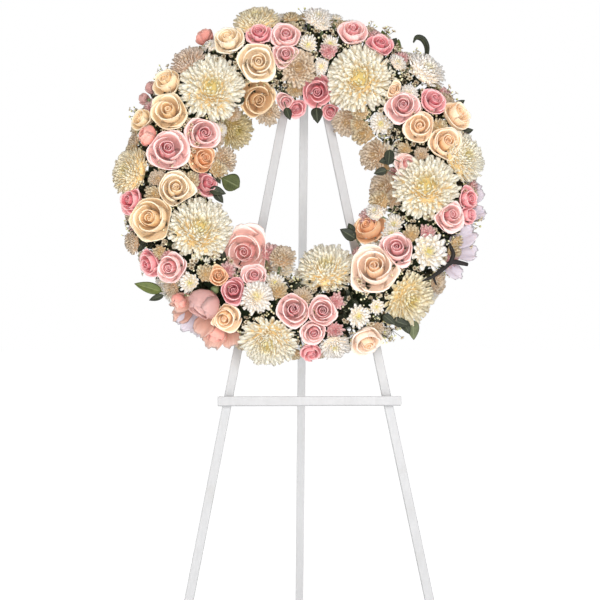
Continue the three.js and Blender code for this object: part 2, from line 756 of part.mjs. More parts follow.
easel.add(frontLegLeft, frontLegRight, crossbar, headBoard, ...barScrews);
easel.add(hingePlate, hingePin, ...plateScrews);
backFrame.add(backLeg, hingeStrap, ...strapScrews);
easel.add(backFrame, hook, loopMesh, tray, foam, ...flowerMeshes);

const wreath = new THREE.Group();
wreath.add(easel);
wreath.updateMatrixWorld(true);
const bounds = new THREE.Box3().setFromObject(wreath, true);
easel.position.x = -(bounds.min.x + bounds.max.x) / 2;
easel.position.y = -(bounds.min.y + bounds.max.y) / 2;
wreath.updateMatrixWorld(true);

export default wreath;
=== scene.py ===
"""Funeral wreath of fresh roses and chrysanthemums hung on a white wooden tripod easel.

The easel, the hinge and the wreath's base come from the packed frame. Every bloom, sprig and leaf
is modelled here as petals and leaves of real thickness, and stands where the frame's ring carries it.
Metres, +Z up, the wreath faces -Y and leans back with the easel's front legs.
"""

import math

import bmesh
import bpy
import numpy as np
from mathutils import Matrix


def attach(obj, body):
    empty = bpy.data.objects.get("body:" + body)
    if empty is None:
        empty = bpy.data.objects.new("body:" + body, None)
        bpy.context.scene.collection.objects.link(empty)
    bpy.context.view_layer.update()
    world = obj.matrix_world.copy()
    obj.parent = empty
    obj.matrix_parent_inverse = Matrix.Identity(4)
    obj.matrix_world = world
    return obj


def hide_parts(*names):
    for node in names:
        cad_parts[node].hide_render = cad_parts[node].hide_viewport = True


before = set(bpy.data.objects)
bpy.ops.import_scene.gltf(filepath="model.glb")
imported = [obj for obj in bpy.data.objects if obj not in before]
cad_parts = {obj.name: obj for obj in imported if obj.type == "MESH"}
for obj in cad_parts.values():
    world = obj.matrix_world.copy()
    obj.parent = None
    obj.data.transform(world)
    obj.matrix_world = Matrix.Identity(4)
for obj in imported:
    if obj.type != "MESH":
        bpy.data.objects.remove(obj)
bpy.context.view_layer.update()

bl_info = {
    "name": "Funeral wreath on an easel",
    "version": (1, 0, 0),
    "blender": (4, 5, 0),
    "location": "View3D > Sidebar > Wreath",
    "description": "Dresses a wreath of roses and chrysanthemums on a wooden easel",
    "category": "Object",
}

MM = 0.001
EASEL_BODY = "easel_and_wreath"


def tone(red, green, blue):
    """A colour picked on a 0 to 255 scale, as the linear values that shaders take."""
    return tuple(((c / 255 + 0.055) / 1.055) ** 2.4 if c > 10 else c / 3295 for c in (red, green, blue))


# ---- the leaning ring, read from the frame --------------------------------------------------

LEAN = math.radians(13)
ACROSS = np.array([1.0, 0.0, 0.0])
UP = np.array([0.0, math.sin(LEAN), math.cos(LEAN)])
FRONT = np.array([0.0, -math.cos(LEAN), math.sin(LEAN)])
TUBE_ABOVE_TRAY = 22.1 * MM
FOAM_SURFACE = 30 * MM


def node_points(node):
    """Vertices of a CAD node at rest."""
    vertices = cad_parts[node].data.vertices
    points = np.empty(len(vertices) * 3, np.float32)
    vertices.foreach_get("co", points)
    return points.reshape(-1, 3).astype(float)


def ring_measures():
    """Centre of the ring that the stems point away from, its radius, and the tray's own measures."""
    tray = node_points("wreath_tray")
    across, up, front = tray @ ACROSS, tray @ UP, tray @ FRONT
    middle_across = (across.min() + across.max()) / 2
    middle_up = (up.min() + up.max()) / 2
    radii = np.hypot(across - middle_across, up - middle_up)
    back = ACROSS * middle_across + UP * middle_up + FRONT * front.min()
    return back, radii.min(), radii.max(), front.max() - front.min()


RING_BACK, TRAY_INNER, TRAY_OUTER, TRAY_DEPTH = ring_measures()
RING_RADIUS = (TRAY_INNER + TRAY_OUTER) / 2
RING_CENTRE = RING_BACK + FRONT * TUBE_ABOVE_TRAY


def ring_frame(ring, tube):
    """Root on the tube's centre circle and the direction out of it.

    ring is the angle round the wreath, 0 at the right and 90 at the top; tube is the angle round
    the tube, 0 straight out of the front, + outwards and - towards the hole.
    """
    turn, tilt = math.radians(ring), math.radians(tube)
    outward = ACROSS * math.cos(turn) + UP * math.sin(turn)
    return RING_CENTRE + outward * RING_RADIUS, FRONT * math.cos(tilt) + outward * math.sin(tilt)


def on_ring(ring, tube, reach):
    """Point at a reach from the tube's centre circle, and the direction out of the tube there."""
    root, axis = ring_frame(ring, tube)
    return root + axis * reach, axis


def basis(axis, turn=0.0):
    """Side, depth and axis of a piece that faces along axis, turned about it, as three columns."""
    axis = axis / np.linalg.norm(axis)
    side = np.cross(ACROSS if abs(axis[0]) < 0.9 else UP, axis)
    side /= np.linalg.norm(side)
    depth = np.cross(axis, side)
    cos, sin = math.cos(turn), math.sin(turn)
    return np.stack([side * cos + depth * sin, depth * cos - side * sin, axis], axis=1)


# ---- the arrangement ------------------------------------------------------------------------
# Each bloom: kind, ring angle, tube angle, radius in mm, and how far it stands above the others.
# A group of blooms stands for the CAD node of the same name.

FLOWERS = {
    "mum_top_left": [("mum", 134, -6, 56)],
    "mum_top_right": [("mum", 60, -20, 58)],
    "mum_right": [("mum", 357, -13, 56)],
    "mum_left": [("mum", 206, -31, 55)],
    "mum_bottom_inner": [("mum", 286, -62, 48, 8)],
    "mum_bottom_right": [("mum_open", 312, 44, 46)],
    "mum_bottom_left": [("mum", 258, 50, 47, 6)],
    "mum_crest": [("mum_shade", 105, 57, 40, 6)],
    "mum_edge_right": [("mum", 9, 45, 43, 4)],
    "mum_edge_left": [("mum_shade", 176, 60, 42, 4)],
    "mum_inner_left": [("mum_dim", 135, -100, 34, 12)],
    "mum_edge_top_left": [("mum_blush", 133, 48, 33, 4)],
    "small_mum_bottom": [("small_mum", 249, -10, 29)],
    "small_mum_top": [("small_mum_blush", 91, -26, 33)],
    "small_mum_edge_top_right": [("small_mum", 42, 51, 36, 4)],
    "small_mum_crest": [("small_mum", 84, 46, 26, 4)],
    "small_mum_inner_right": [("daisy", 38, -54, 21)],
    "small_mum_lower_right": [("daisy", 330, 16, 33)],
    "small_mum_edge_bottom": [("small_mum", 281, 55, 26, 4), ("daisy", 292, 20, 21)],
    "rose_cream_top": [("cream", 117, 37, 25), ("cream", 110, -10, 30)],
    "rose_cream_inner_top": [("cream_dim", 116, -64, 30)],
    "rose_cream_upper_left": [("cream_deep", 153, 20, 28), ("cream_deep", 143, 47, 25)],
    "rose_cream_left": [("cream", 185, -10, 29), ("cream_deep", 195, 27, 35)],
    "rose_cream_right": [("peach", 24, -5, 25), ("peach", 14, 20, 30), ("peach", 24, 55, 25)],
    "rose_cream_lower_right": [("blush", 308, -25, 37)],
    "rose_peach_inner_right": [("orange", 329, -79, 28, 12)],
    "rose_peach_bottom_left": [("peach", 241, 34, 24)],
    "rose_peach_inner_left": [("orange", 166, -50, 23)],
    "rose_cream_bottom": [("blush", 292, 62, 26, 4)],
    "rose_pink_top": [("pink", 96, 17, 24), ("pink_deep", 106, 28, 20), ("pink", 97, -8, 22)],
    "rose_pink_top_right": [("pink", 71, 36, 24), ("pink_deep", 60, 34, 21)],
    "rose_pink_inner_top": [("pink_deep", 80, -64, 26)],
    "rose_pink_right": [("pink", 36, -9, 27), ("pink_deep", 31, 28, 21)],
    "rose_pink_upper_left": [("pink", 154, -36, 27), ("pink", 168, 3, 32)],
    "rose_pink_edge_left": [("pink_deep", 186, 55, 22)],
    "rose_pink_left": [("pink_deep", 208, 60, 21), ("pink", 214, 32, 24)],
    "rose_pink_large": [("dusty", 231, -62, 38, 2)],
    "rose_pink_lower_left": [("pink_deep", 239, -3, 22), ("pink", 244, -32, 20)],
    "rose_pink_bottom": [("pink", 266, -3, 26), ("pink", 278, 0, 24), ("pink", 274, 27, 20)],
    "rose_pink_lower_right": [("pink", 323, -22, 28)],
    "rose_pink_edge_right": [("pink", 346, 24, 24), ("pink_deep", 354, 48, 19), ("pink_deep", 349, 53, 16)],
    "rose_mauve_left": [("mauve", 232, 31, 33), ("salmon", 224, 58, 17), ("salmon", 240, 70, 24)],
}

# Small blooms and buds that only dress the gaps.
EXTRAS = {
    "gap_daisies": [
        ("small_mum_blush", 353, -66, 20), ("daisy", 24, -80, 20), ("daisy", 257, -75, 24),
        ("daisy", 223, 26, 20), ("small_mum_blush", 199, 68, 20, 8),
    ],
    "gap_whites": [
        ("small_mum", 80, -22, 17), ("small_mum", 82, 36, 14), ("daisy", 78, 68, 12),
    ],
    "gap_buds_warm": [
        ("orange", 230, -7, 17), ("cream_deep", 158, 56, 19), ("peach", 44, -5, 15),
    ],
    "gap_buds_pink": [
        ("pink_deep", 179, -65, 19), ("pink_deep", 273, 66, 17), ("salmon", 122, 76, 19),
        ("salmon", 164, 33, 20), ("dusty", 9, -38, 20),
        ("mauve", 146, 76, 14, 0), ("mauve", 150, 78, 13, 0),
    ],
    # Round the hole the small blooms stand on longer stems than the rest.
    "inner_blush_mums": [
        ("small_mum_blush", 56, -84, 27, 20), ("small_mum_blush", 25, -80, 29, 20),
        ("small_mum_blush", 1, -79, 28, 14), ("small_mum_blush", 160, -75, 24, 22),
        ("small_mum_blush", 112, -85, 23, 18), ("small_mum_blush", 255, -63, 25, 20),
    ],
    "inner_ruffles": [
        ("ruffle_beige", 42, -79, 24, 18), ("ruffle_beige", 349, -70, 22, 20),
        ("small_mum", 340, -71, 20, 20), ("ruffle_beige", 169, -66, 20, 18),
        ("ruffle_pink", 245, -68, 21, 18), ("ruffle_pink", 336, -80, 20, 22),
        ("ruffle_beige", 51, -59, 18, 10), ("ruffle_beige", 31, -85, 17, 10),
        ("small_mum", 58, -57, 16, 6), ("ruffle_beige", 16, -96, 17, 8),
        ("small_mum", 348, -88, 17, 10), ("ruffle_beige", 256, -79, 17, 12),
        ("ruffle_beige", 48, -73, 18, 18), ("small_mum", 156, -94, 17, 12),
    ],
    "inner_buds": [
        ("pink_deep", 93, -88, 16, 18), ("pink_deep", 69, -86, 14, 14), ("pink", 99, -81, 16, 8),
    ],
}

# Gaps left dark, with leaves in them: ring angle, tube angle and radius in mm. The dark leaves there are real
# leaves that also stand in for the shade deep in these gaps: partly painted shade.
LEAFY_GAPS = (
    (56, 60, 16), (49, 19, 14), (127, 38, 13), (147, 52, 15), (149, 79, 12), (103, -49, 15), (88, -96, 12),
    (46, -71, 14), (38, -33, 13), (28, -44, 15), (29, -96, 13), (15, -29, 14), (167, -92, 12), (182, -90, 14),
    (349, -91, 15), (341, -89, 13), (314, -74, 12), (350, 28, 13), (341, 39, 13), (333, 26, 13),
    (196, 81, 13), (202, 58, 12), (207, 71, 13), (208, 90, 12), (248, -32, 12), (265, -46, 13),
    (252, -16, 11), (291, -8, 14), (288, 8, 13), (296, 7, 18), (289, 23, 15), (299, 34, 13), (274, 35, 13),
    (278, 51, 12), (136, 67, 12), (320, -3, 12), (59, -81, 12), (151, -96, 12),
)

# How far heads stand out from the tube's centre circle, and how their own weight settles them.
MUM_REACH = 68 * MM
ROSE_REACH = 74 * MM
SETTLE = 13 * MM
INWARD = 0.022

# Cupped heads look this many degrees further out than they stand, and the dusty one looks along
# an angle of its own. The others turn forwards, to these shares of the angle at which they stand.
CUPPED_TURN = {"mauve": 50, "salmon": 28}
DUSTY_ANGLE = 22
INNER_SHARE = 0.45
OUTER_SHARE = 0.85


def settled(ring, tube, reach):
    """Ring and tube angles of a head after its own weight has drawn it down round the tube."""
    offset = on_ring(ring, tube, reach)[0] - RING_CENTRE - UP * SETTLE
    across, up, front = offset @ ACROSS * (1 - INWARD), offset @ UP, offset @ FRONT
    out = math.hypot(across, up) - RING_RADIUS
    return math.degrees(math.atan2(up, across)) % 360, math.degrees(math.atan2(out, front))


def facing(kind, tube):
    """Tube angle that a head looks along."""
    if kind in CUPPED_TURN:
        return tube + CUPPED_TURN[kind]
    if kind == "dusty":
        return DUSTY_ANGLE
    return tube * (INNER_SHARE if tube < 0 else OUTER_SHARE)


class Bloom:
    """One flower head: its kind, its frame on the ring and its radius."""

    def __init__(self, kind, ring, tube, size, lift=0):
        self.kind = kind
        self.size = size * MM
        reach = (MUM_REACH if kind.startswith("mum") else ROSE_REACH) + lift * MM
        ring, tube = settled(ring, tube, reach)
        self.root, self.outward = ring_frame(ring, tube)
        self.centre = self.root + self.outward * reach
        self.axis = ring_frame(ring, facing(kind, tube))[1]
        self.turn = math.radians(ring * 7 + tube * 3)
        self.seed = int(ring * 1000 + (tube + 180) * 10 + size)


# Small blooms that fill what is left: their kinds and how common each is, the least room that takes
# one and how many there may be. Each is a little wider than its room and stands lower than the rest.
FILL_KINDS = ("daisy", "small_mum", "small_mum_blush", "ruffle_beige", "ruffle_pink")
FILL_SHARES = (0.12, 0.14, 0.22, 0.34, 0.18)
FILL_LEAST = 4 * MM
FILL_COUNT = 120
FILL_WIDER = 7
FILL_LARGEST = 18
FILL_LOWER = 6
FILL_SEED = 5


def fill_gaps(blooms):
    """Small blooms in the widest gaps that are left, each in the middle of its gap."""
    rng = np.random.default_rng(FILL_SEED)
    angles = [(ring, tube_angle) for ring in range(0, 360, 3) for tube_angle in range(-88, 96, 6)]
    spots = np.array([on_ring(*angle, ROSE_REACH - FILL_LOWER * MM)[0] for angle in angles])
    room = np.full(len(spots), 1.0)

    def take(place, radius):
        np.minimum(room, np.linalg.norm(spots - place, axis=1) - radius, out=room)

    for bloom in blooms:
        take(bloom.centre, bloom.size)
    for ring, tube_angle, radius in LEAFY_GAPS:
        take(on_ring(*settled(ring, tube_angle, ROSE_REACH), ROSE_REACH)[0], radius * MM)
    groups = {kind: [] for kind in FILL_KINDS}
    for _ in range(FILL_COUNT):
        widest = int(np.argmax(room))
        if room[widest] < FILL_LEAST:
            break
        kind = str(rng.choice(FILL_KINDS, p=FILL_SHARES))
        size = min(room[widest] / MM + FILL_WIDER, FILL_LARGEST)
        bloom = Bloom(kind, *angles[widest], size, -FILL_LOWER)
        groups[kind].append(bloom)
        take(bloom.centre, bloom.size)
    return {f"gap_{kind}": group for kind, group in groups.items() if group}


BLOOMS = {name: [Bloom(*item) for item in items] for name, items in {**FLOWERS, **EXTRAS}.items()}
BLOOMS.update(fill_gaps([bloom for blooms in BLOOMS.values() for bloom in blooms]))
ALL_BLOOMS = [bloom for blooms in BLOOMS.values() for bloom in blooms]
CENTRES = np.array([bloom.centre for bloom in ALL_BLOOMS])
RADII = np.array([bloom.size for bloom in ALL_BLOOMS])

# Heads press on one another: the gap between their cells, the share of its radius that each keeps
# at least, how softly it gives way, and how near a neighbour has to be, in sums of both radii.
CELL_GAP = -1.5 * MM
CELL_LEAST = 0.66
CELL_SOFTNESS = 7 * MM
CELL_NEAR = 1.5
SAME_PLACE = 1e-6


def nestle(points, bloom):
    """Presses a head's points softly back from the planes where its neighbours meet it."""
    offsets = CENTRES - bloom.centre
    distances = np.linalg.norm(offsets, axis=1)
    for offset, distance, size in zip(offsets, distances, RADII):
        if distance < SAME_PLACE or distance > (bloom.size + size) * CELL_NEAR:
            continue
        normal = offset / distance
        share = (distance**2 + bloom.size**2 - size**2) / (2 * distance) - CELL_GAP
        start = max(share, CELL_LEAST * bloom.size) - CELL_SOFTNESS
        over = np.maximum((points - bloom.centre) @ normal - start, 0)
        pressed = CELL_SOFTNESS * (1 - np.exp(-over / CELL_SOFTNESS))
        points = points - over[:, None] * normal + pressed[:, None] * normal
    return points


# ---- meshes ---------------------------------------------------------------------------------

VALUES = ("along", "across", "layer", "chance")


def linked(name, data):
    """A new object of some data, in the scene."""
    made = bpy.data.objects.new(name, data)
    bpy.context.scene.collection.objects.link(made)
    return made


class Mesh:
    """Gathers closed shapes, with the values that their finishes read, into one piece."""

    def __init__(self):
        self.points = []
        self.faces = []
        self.values = []
        self.finish = []
        self.total = 0

    def add(self, points, faces, values=None, finish=0):
        """Points (n, 3), a list of index arrays and n by 4 values in the order of VALUES."""
        count = len(points)
        self.points.append(points)
        self.values.append(np.zeros((count, 4)) if values is None else values)
        for block in faces:
            self.faces.append(block + self.total)
            self.finish.append(np.full(len(block), finish))
        self.total += count

    def build(self, name, finishes, smooth=True):
        """The Blender object of everything gathered."""
        mesh = bpy.data.meshes.new(name)
        mesh.vertices.add(self.total)
        mesh.vertices.foreach_set("co", np.concatenate(self.points).astype(np.float32).ravel())
        loops = np.concatenate([block.ravel() for block in self.faces])
        sides = np.concatenate([np.full(len(block), block.shape[1]) for block in self.faces])
        mesh.loops.add(len(loops))
        mesh.loops.foreach_set("vertex_index", loops.astype(np.int32))
        mesh.polygons.add(len(sides))
        mesh.polygons.foreach_set("loop_start", (np.cumsum(sides) - sides).astype(np.int32))
        mesh.polygons.foreach_set("material_index", np.concatenate(self.finish).astype(np.int32))
        mesh.polygons.foreach_set("use_smooth", np.full(len(sides), smooth))
        table = np.concatenate(self.values).astype(np.float32)
        for column, value in enumerate(VALUES):
            attribute = mesh.attributes.new(value, "FLOAT", "POINT")
            attribute.data.foreach_set("value", table[:, column].copy())
        for finish in finishes:
            mesh.materials.append(finish)
        mesh.update(calc_edges=True)
        return linked(name, mesh)


def sheet_faces(cells_across, cells_along):
    """Quads of a closed sheet: a front and a back that share their rim."""
    wide, tall = cells_across + 1, cells_along + 1
    front = np.arange(wide * tall).reshape(tall, wide)
    back = front.copy()
    inner = (tall - 2) * (wide - 2)
    back[1:-1, 1:-1] = (wide * tall + np.arange(inner)).reshape(tall - 2, wide - 2)

    def quads(grid, flip):
        a, b, c, d = grid[:-1, :-1], grid[:-1, 1:], grid[1:, 1:], grid[1:, :-1]
        order = [a, d, c, b] if flip else [a, b, c, d]
        return np.stack([part.ravel() for part in order], axis=1)

    return np.concatenate([quads(front, False), quads(back, True)])


def sheets(surface, thickness, layer, chance, along=None):
    """Closed sheets from K surfaces (K, rows, columns, 3): points, faces and values.

    Rows are evenly spaced from the base to the tip, unless along says where each one lies.
    """
    count, tall, wide = surface.shape[:3]
    normal = np.cross(np.gradient(surface, axis=2), np.gradient(surface, axis=1))
    normal /= np.maximum(np.linalg.norm(normal, axis=3, keepdims=True), 1e-12)
    half = np.zeros((tall, wide, 1))
    half[1:-1, 1:-1] = thickness / 2
    grid = np.zeros((count, tall, wide, 4))
    grid[..., 0] = (np.linspace(0, 1, tall) if along is None else along)[:, None]
    grid[..., 1] = np.linspace(-1, 1, wide)
    grid[..., 2] = np.reshape(layer, (-1, 1, 1))
    grid[..., 3] = np.reshape(chance, (-1, 1, 1))

    def both(front, back):
        return np.concatenate([
            front.reshape(count, tall * wide, -1),
            back[:, 1:-1, 1:-1].reshape(count, (tall - 2) * (wide - 2), -1),
        ], axis=1)

    points = both(surface + normal * half, surface - normal * half)
    starts = (np.arange(count) * points.shape[1])[:, None, None]
    faces = (sheet_faces(wide - 1, tall - 1)[None] + starts).reshape(-1, 4)
    return points.reshape(-1, 3), [faces], both(grid, grid).reshape(-1, 4)


def unit_rows(vectors):
    """Rows of a table of vectors, each at length 1."""
    return vectors / np.linalg.norm(vectors, axis=1, keepdims=True)


def ring_faces(count, sides, closed_loop=False):
    """Walls between rings of points and, unless they loop, fans to the two points after them."""
    row = np.arange(sides)
    following = (row + 1) % sides
    steps = [(k, k + 1) for k in range(count - 1)] + ([(count - 1, 0)] if closed_loop else [])
    walls = np.concatenate([
        np.stack([a * sides + row, a * sides + following, b * sides + following, b * sides + row], axis=1)
        for a, b in steps
    ])
    if closed_loop:
        return [walls]
    end = count * sides
    last_row = end - sides
    caps = np.concatenate([
        np.stack([following, row, np.full(sides, end)], axis=1),
        np.stack([last_row + row, last_row + following, np.full(sides, end + 1)], axis=1),
    ])
    return [walls, caps]


def tube(path, radii, sides=8):
    """Closed round tube along a path of points."""
    path = np.asarray(path, float)
    radii = np.broadcast_to(np.asarray(radii, float), (len(path),))
    direction = unit_rows(np.gradient(path, axis=0))
    side = unit_rows(np.cross(direction, ACROSS if abs(direction[0][0]) < 0.8 else UP))
    other = np.cross(direction, side)
    angle = 2 * math.pi * np.arange(sides) / sides
    ring = np.cos(angle)[None, :, None] * side[:, None] + np.sin(angle)[None, :, None] * other[:, None]
    rings = path[:, None] + ring * radii[:, None, None]
    points = np.concatenate([rings.reshape(-1, 3), path[:1], path[-1:]])
    values = np.zeros((len(points), 4))
    values[:-2, 0] = np.repeat(np.linspace(0, 1, len(path)), sides)
    values[-1, 0] = 1
    return points, ring_faces(len(path), sides), values


def turned(profile, sides, closed_loop=False):
    """Closed solid of revolution about z: profile of (radius, height) from axis to axis, or a loop."""
    profile = np.asarray(profile, float)
    angle = 2 * math.pi * np.arange(sides) / sides
    body = profile if closed_loop else profile[1:-1]
    rings = np.stack([
        body[:, 0, None] * np.cos(angle), body[:, 0, None] * np.sin(angle),
        np.repeat(body[:, 1, None], sides, axis=1),
    ], axis=2)
    ends = [] if closed_loop else [[(0, 0, profile[0, 1])], [(0, 0, profile[-1, 1])]]
    points = np.concatenate([rings.reshape(-1, 3), *ends])
    return points, ring_faces(len(body), sides, closed_loop)


def arc(start, middle, end, count):
    """Points of the curve that leaves start towards middle and comes to end from there."""
    t = np.linspace(0, 1, count)[:, None]
    return (1 - t) ** 2 * start + 2 * t * (1 - t) * middle + t**2 * end


def cubic(t, start, first, second, end):
    """Cubic curve from start to end, drawn towards two values between them."""
    return (1 - t) ** 3 * start + 3 * (1 - t) ** 2 * t * first + 3 * (1 - t) * t**2 * second + t**3 * end


def scatter(mesh, template, frames, places, scales, chances, finish, layers=None):
    """Copies of one template (points, faces, values) at many frames, places and scales."""
    points, faces, values = template
    count, each = len(places), len(points)
    moved = np.einsum("kij,nj->kni", frames, points) * scales[:, None, None] + places[:, None]
    table = np.broadcast_to(values, (count, each, 4)).copy()
    table[:, :, 3] = chances[:, None]
    if layers is not None:
        table[:, :, 2] = layers[:, None]
    starts = (np.arange(count) * each)[:, None, None]
    blocks = [(block[None] + starts).reshape(-1, block.shape[1]) for block in faces]
    mesh.add(moved.reshape(-1, 3), blocks, table.reshape(-1, 4), finish)


def smooth_step(x, low, high):
    """0 below low, 1 above high, smooth between them."""
    t = np.clip((x - low) / (high - low), 0, 1)
    return t * t * (3 - 2 * t)


def dress(piece, slot_name, *nodes, body=EASEL_BODY):
    """Makes a piece ride with its body and hides the CAD nodes that it stands for; the name of its finish is
    not used.
    """
    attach(piece, body)
    if nodes:
        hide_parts(*nodes)
    return piece


# ---- finishes -------------------------------------------------------------------------------


class Socket:
    """A node's output, with the arithmetic that adds Math nodes."""

    def __init__(self, finish, output):
        self.finish = finish
        self.output = output

    def _math(self, operation, first, second):
        return self.finish.node("ShaderNodeMath", {"operation": operation}, {0: first, 1: second})

    def __add__(self, other):
        return self._math("ADD", self, other)

    def __radd__(self, other):
        return self._math("ADD", other, self)

    def __sub__(self, other):
        return self._math("SUBTRACT", self, other)

    def __rsub__(self, other):
        return self._math("SUBTRACT", other, self)

    def __mul__(self, other):
        return self._math("MULTIPLY", self, other)

    def __rmul__(self, other):
        return self._math("MULTIPLY", other, self)


class Finish:
    """One material and the nodes that make it."""

    def __init__(self, name):
        self.material = bpy.data.materials.new(name)
        self.material.use_nodes = True
        self.tree = self.material.node_tree
        self.shader = self.tree.nodes["Principled BSDF"]

    def node(self, kind, settings=None, inputs=None, output=0):
        """Adds a node: its settings first, then the values or links of its sockets."""
        node = self.tree.nodes.new(kind)
        for key, value in (settings or {}).items():
            if key == "stops":
                self._stops(node.color_ramp.elements, value)
            else:
                setattr(node, key, value)
        for key, value in (inputs or {}).items():
            self.feed(node.inputs[key], value)
        return Socket(self, node.outputs[output])

    @staticmethod
    def _stops(elements, stops):
        while len(elements) < len(stops):
            elements.new(1.0)
        for element, (position, colour) in zip(elements, stops):
            element.position = position
            element.color = (*colour, 1.0)

    def feed(self, socket, value):
        """Links a Socket, or sets a plain value or colour."""
        if isinstance(value, Socket):
            self.tree.links.new(value.output, socket)
        elif hasattr(value, "__len__") and len(value) == 3 and socket.type == "RGBA":
            socket.default_value = (*value, 1.0)
        else:
            socket.default_value = value

    def value(self, name):
        """A value kept on the mesh's points."""
        return self.node("ShaderNodeAttribute", {"attribute_name": name}, output="Fac")

    def ramp(self, factor, *stops):
        """Grey ramp from (position, grey) stops."""
        greys = [(position, (grey, grey, grey)) for position, grey in stops]
        return self.node("ShaderNodeValToRGB", {"stops": greys}, {0: factor})

    def mix(self, factor, first, second):
        """Blend of two colours."""
        return self.node("ShaderNodeMix", {"data_type": "RGBA"}, {0: factor, 6: first, 7: second}, 2)

    def vector(self, x, y, z):
        """Three values as a vector."""
        return self.node("ShaderNodeCombineXYZ", None, {0: x, 1: y, 2: z})

    def noise(self, scale, detail, vector=None):
        """Noise about a half, in the object's own space unless a vector is given."""
        if vector is None:
            vector = self.node("ShaderNodeTexCoord", output="Object")
        return self.node("ShaderNodeTexNoise", None, {"Vector": vector, "Scale": scale, "Detail": detail})

    def bump(self, height, strength, distance):
        """Feeds a height into the shader's normal."""
        bumped = self.node("ShaderNodeBump", None, {
            "Height": height, "Strength": strength, "Distance": distance,
        })
        self.feed(self.shader.inputs["Normal"], bumped)

    def finish(self, colour, roughness, **constants):
        """Feeds colour and roughness; constants such as Subsurface_Weight are set on the shader."""
        self.feed(self.shader.inputs["Base Color"], colour)
        self.feed(self.shader.inputs["Roughness"], roughness)
        for key, value in constants.items():
            self.feed(self.shader.inputs[key.replace("_", " ")], value)
        return self.material


PETAL_ROUGHNESS = 0.6
# Emission Strength gives every petal and floret a painted glow of its own colour, which lifts its shade.
PETAL_LOOK_WITH_PAINTED_GLOW = {
    "Specular_IOR_Level": 0.25, "Subsurface_Weight": 0.35, "Subsurface_Radius": (1.0, 0.8, 0.65),
    "Subsurface_Scale": 3 * MM, "Emission_Strength": 0.13,
}


def petal_tissue(made, colour):
    """Matt tissue of a colour, with a painted glow of that same colour that lightens its shade."""
    # Painted glow: the tissue's own colour, given off as emission.
    made.feed(made.shader.inputs["Emission Color"], colour)
    return made.finish(colour, PETAL_ROUGHNESS, **PETAL_LOOK_WITH_PAINTED_GLOW)


def petal_finish(name, rim, body, heart, base):
    """Petal colours: a pale rim, the petal's own paler edge and partly a painted highlight on the lip, the
    body, a deep heart of the flower, and the base colour, painted shade deep in the flower.
    """
    made = Finish(name)
    along, across, layer, chance = (made.value(value) for value in VALUES)
    depth = 1.0 - along
    # The rim towards the tip is the petal's paler edge, and partly a painted highlight where the lip catches
    # the light.
    colour = made.mix(made.ramp(depth, (0.02, 0.0), (0.42, 1.0)), rim, body)
    hearted = made.ramp(layer, (0.0, 1.0), (0.3, 0.75), (0.55, 0.0))
    colour = made.mix(hearted * made.ramp(depth, (0.0, 0.12), (0.2, 1.0)), colour, heart)
    # Painted shade: the base colour towards each petal's foot, strongest on the inner petals.
    shaded = made.ramp(depth, (0.42, 0.0), (0.85, 1.0)) * made.ramp(layer, (0.3, 1.0), (0.75, 0.4))
    colour = made.mix(shaded, colour, base)
    veins = made.noise(1.0, 2.0, made.vector(across * 9.0 + chance * 40.0, along * 1.6, chance * 7.0))
    colour = made.mix(made.ramp(veins, (0.35, 0.0), (0.65, 0.22)), colour, body)
    colour = made.mix(made.ramp(chance, (0.0, 0.0), (1.0, 0.3)), colour, rim)
    made.bump(veins, 0.25, 0.6 * MM)
    return petal_tissue(made, colour)


def floret_finish(name, tip, body, heart, base):
    """Chrysanthemum colours: pale tips over a darker body, greener towards the flower's middle; the darker
    body is partly painted shade, and the colour at each floret's foot is painted shade where the florets
    crowd.
    """
    made = Finish(name)
    along, across, layer, chance = (made.value(value) for value in VALUES)
    outer = made.mix(made.ramp(along, (0.55, 0.0), (0.9, 1.0)), body, tip)
    inner = made.mix(made.ramp(along, (0.5, 0.0), (1.0, 0.6)), heart, tip)
    colour = made.mix(made.ramp(layer, (0.05, 0.0), (0.34, 1.0)), inner, outer)
    # Painted shade: the base colour towards each floret's foot, where the florets crowd.
    colour = made.mix(made.ramp(along, (0.15, 1.0), (0.55, 0.0)), colour, base)
    veins = made.noise(1.0, 1.0, made.vector(across * 4.0, along * 1.5, chance * 30.0))
    colour = made.mix(made.ramp(veins, (0.4, 0.0), (0.7, 0.25)), colour, body)
    colour = made.mix(made.ramp(chance, (0.0, 0.22), (0.7, 0.0)), colour, base)
    made.bump(veins, 0.3, 0.4 * MM)
    return petal_tissue(made, colour)


def leaf_finish(name, light, dark, gloss):
    """Leaf: paler midrib and side veins over a mottled blade."""
    made = Finish(name)
    along, across, chance = made.value("along"), made.value("across"), made.value("chance")
    mottle = made.noise(90.0, 3.0)
    colour = made.mix(made.ramp(mottle, (0.35, 0.0), (0.7, 0.8)), dark, light)
    colour = made.mix(made.ramp(chance, (0.0, 0.0), (1.0, 0.6)), colour, dark)
    side = made.node("ShaderNodeMath", {"operation": "ABSOLUTE"}, {0: across})
    midrib = made.ramp(side, (0.0, 1.0), (0.1, 0.0))
    ribs = made.node("ShaderNodeTexWave", {"wave_type": "BANDS"}, {
        "Vector": made.vector(along - side * 0.35, 0.0, 0.0), "Scale": 3.2, "Distortion": 0.4,
    })
    veins = made.ramp(ribs, (0.8, 0.0), (1.0, 0.35))
    pale = made.mix(0.25, light, (0.75, 0.8, 0.5))
    colour = made.mix(midrib * 0.55, colour, pale)
    colour = made.mix(veins * 0.5, colour, pale)
    made.bump(midrib + veins, 0.4, 0.5 * MM)
    return made.finish(colour, gloss, Specular_IOR_Level=0.45)


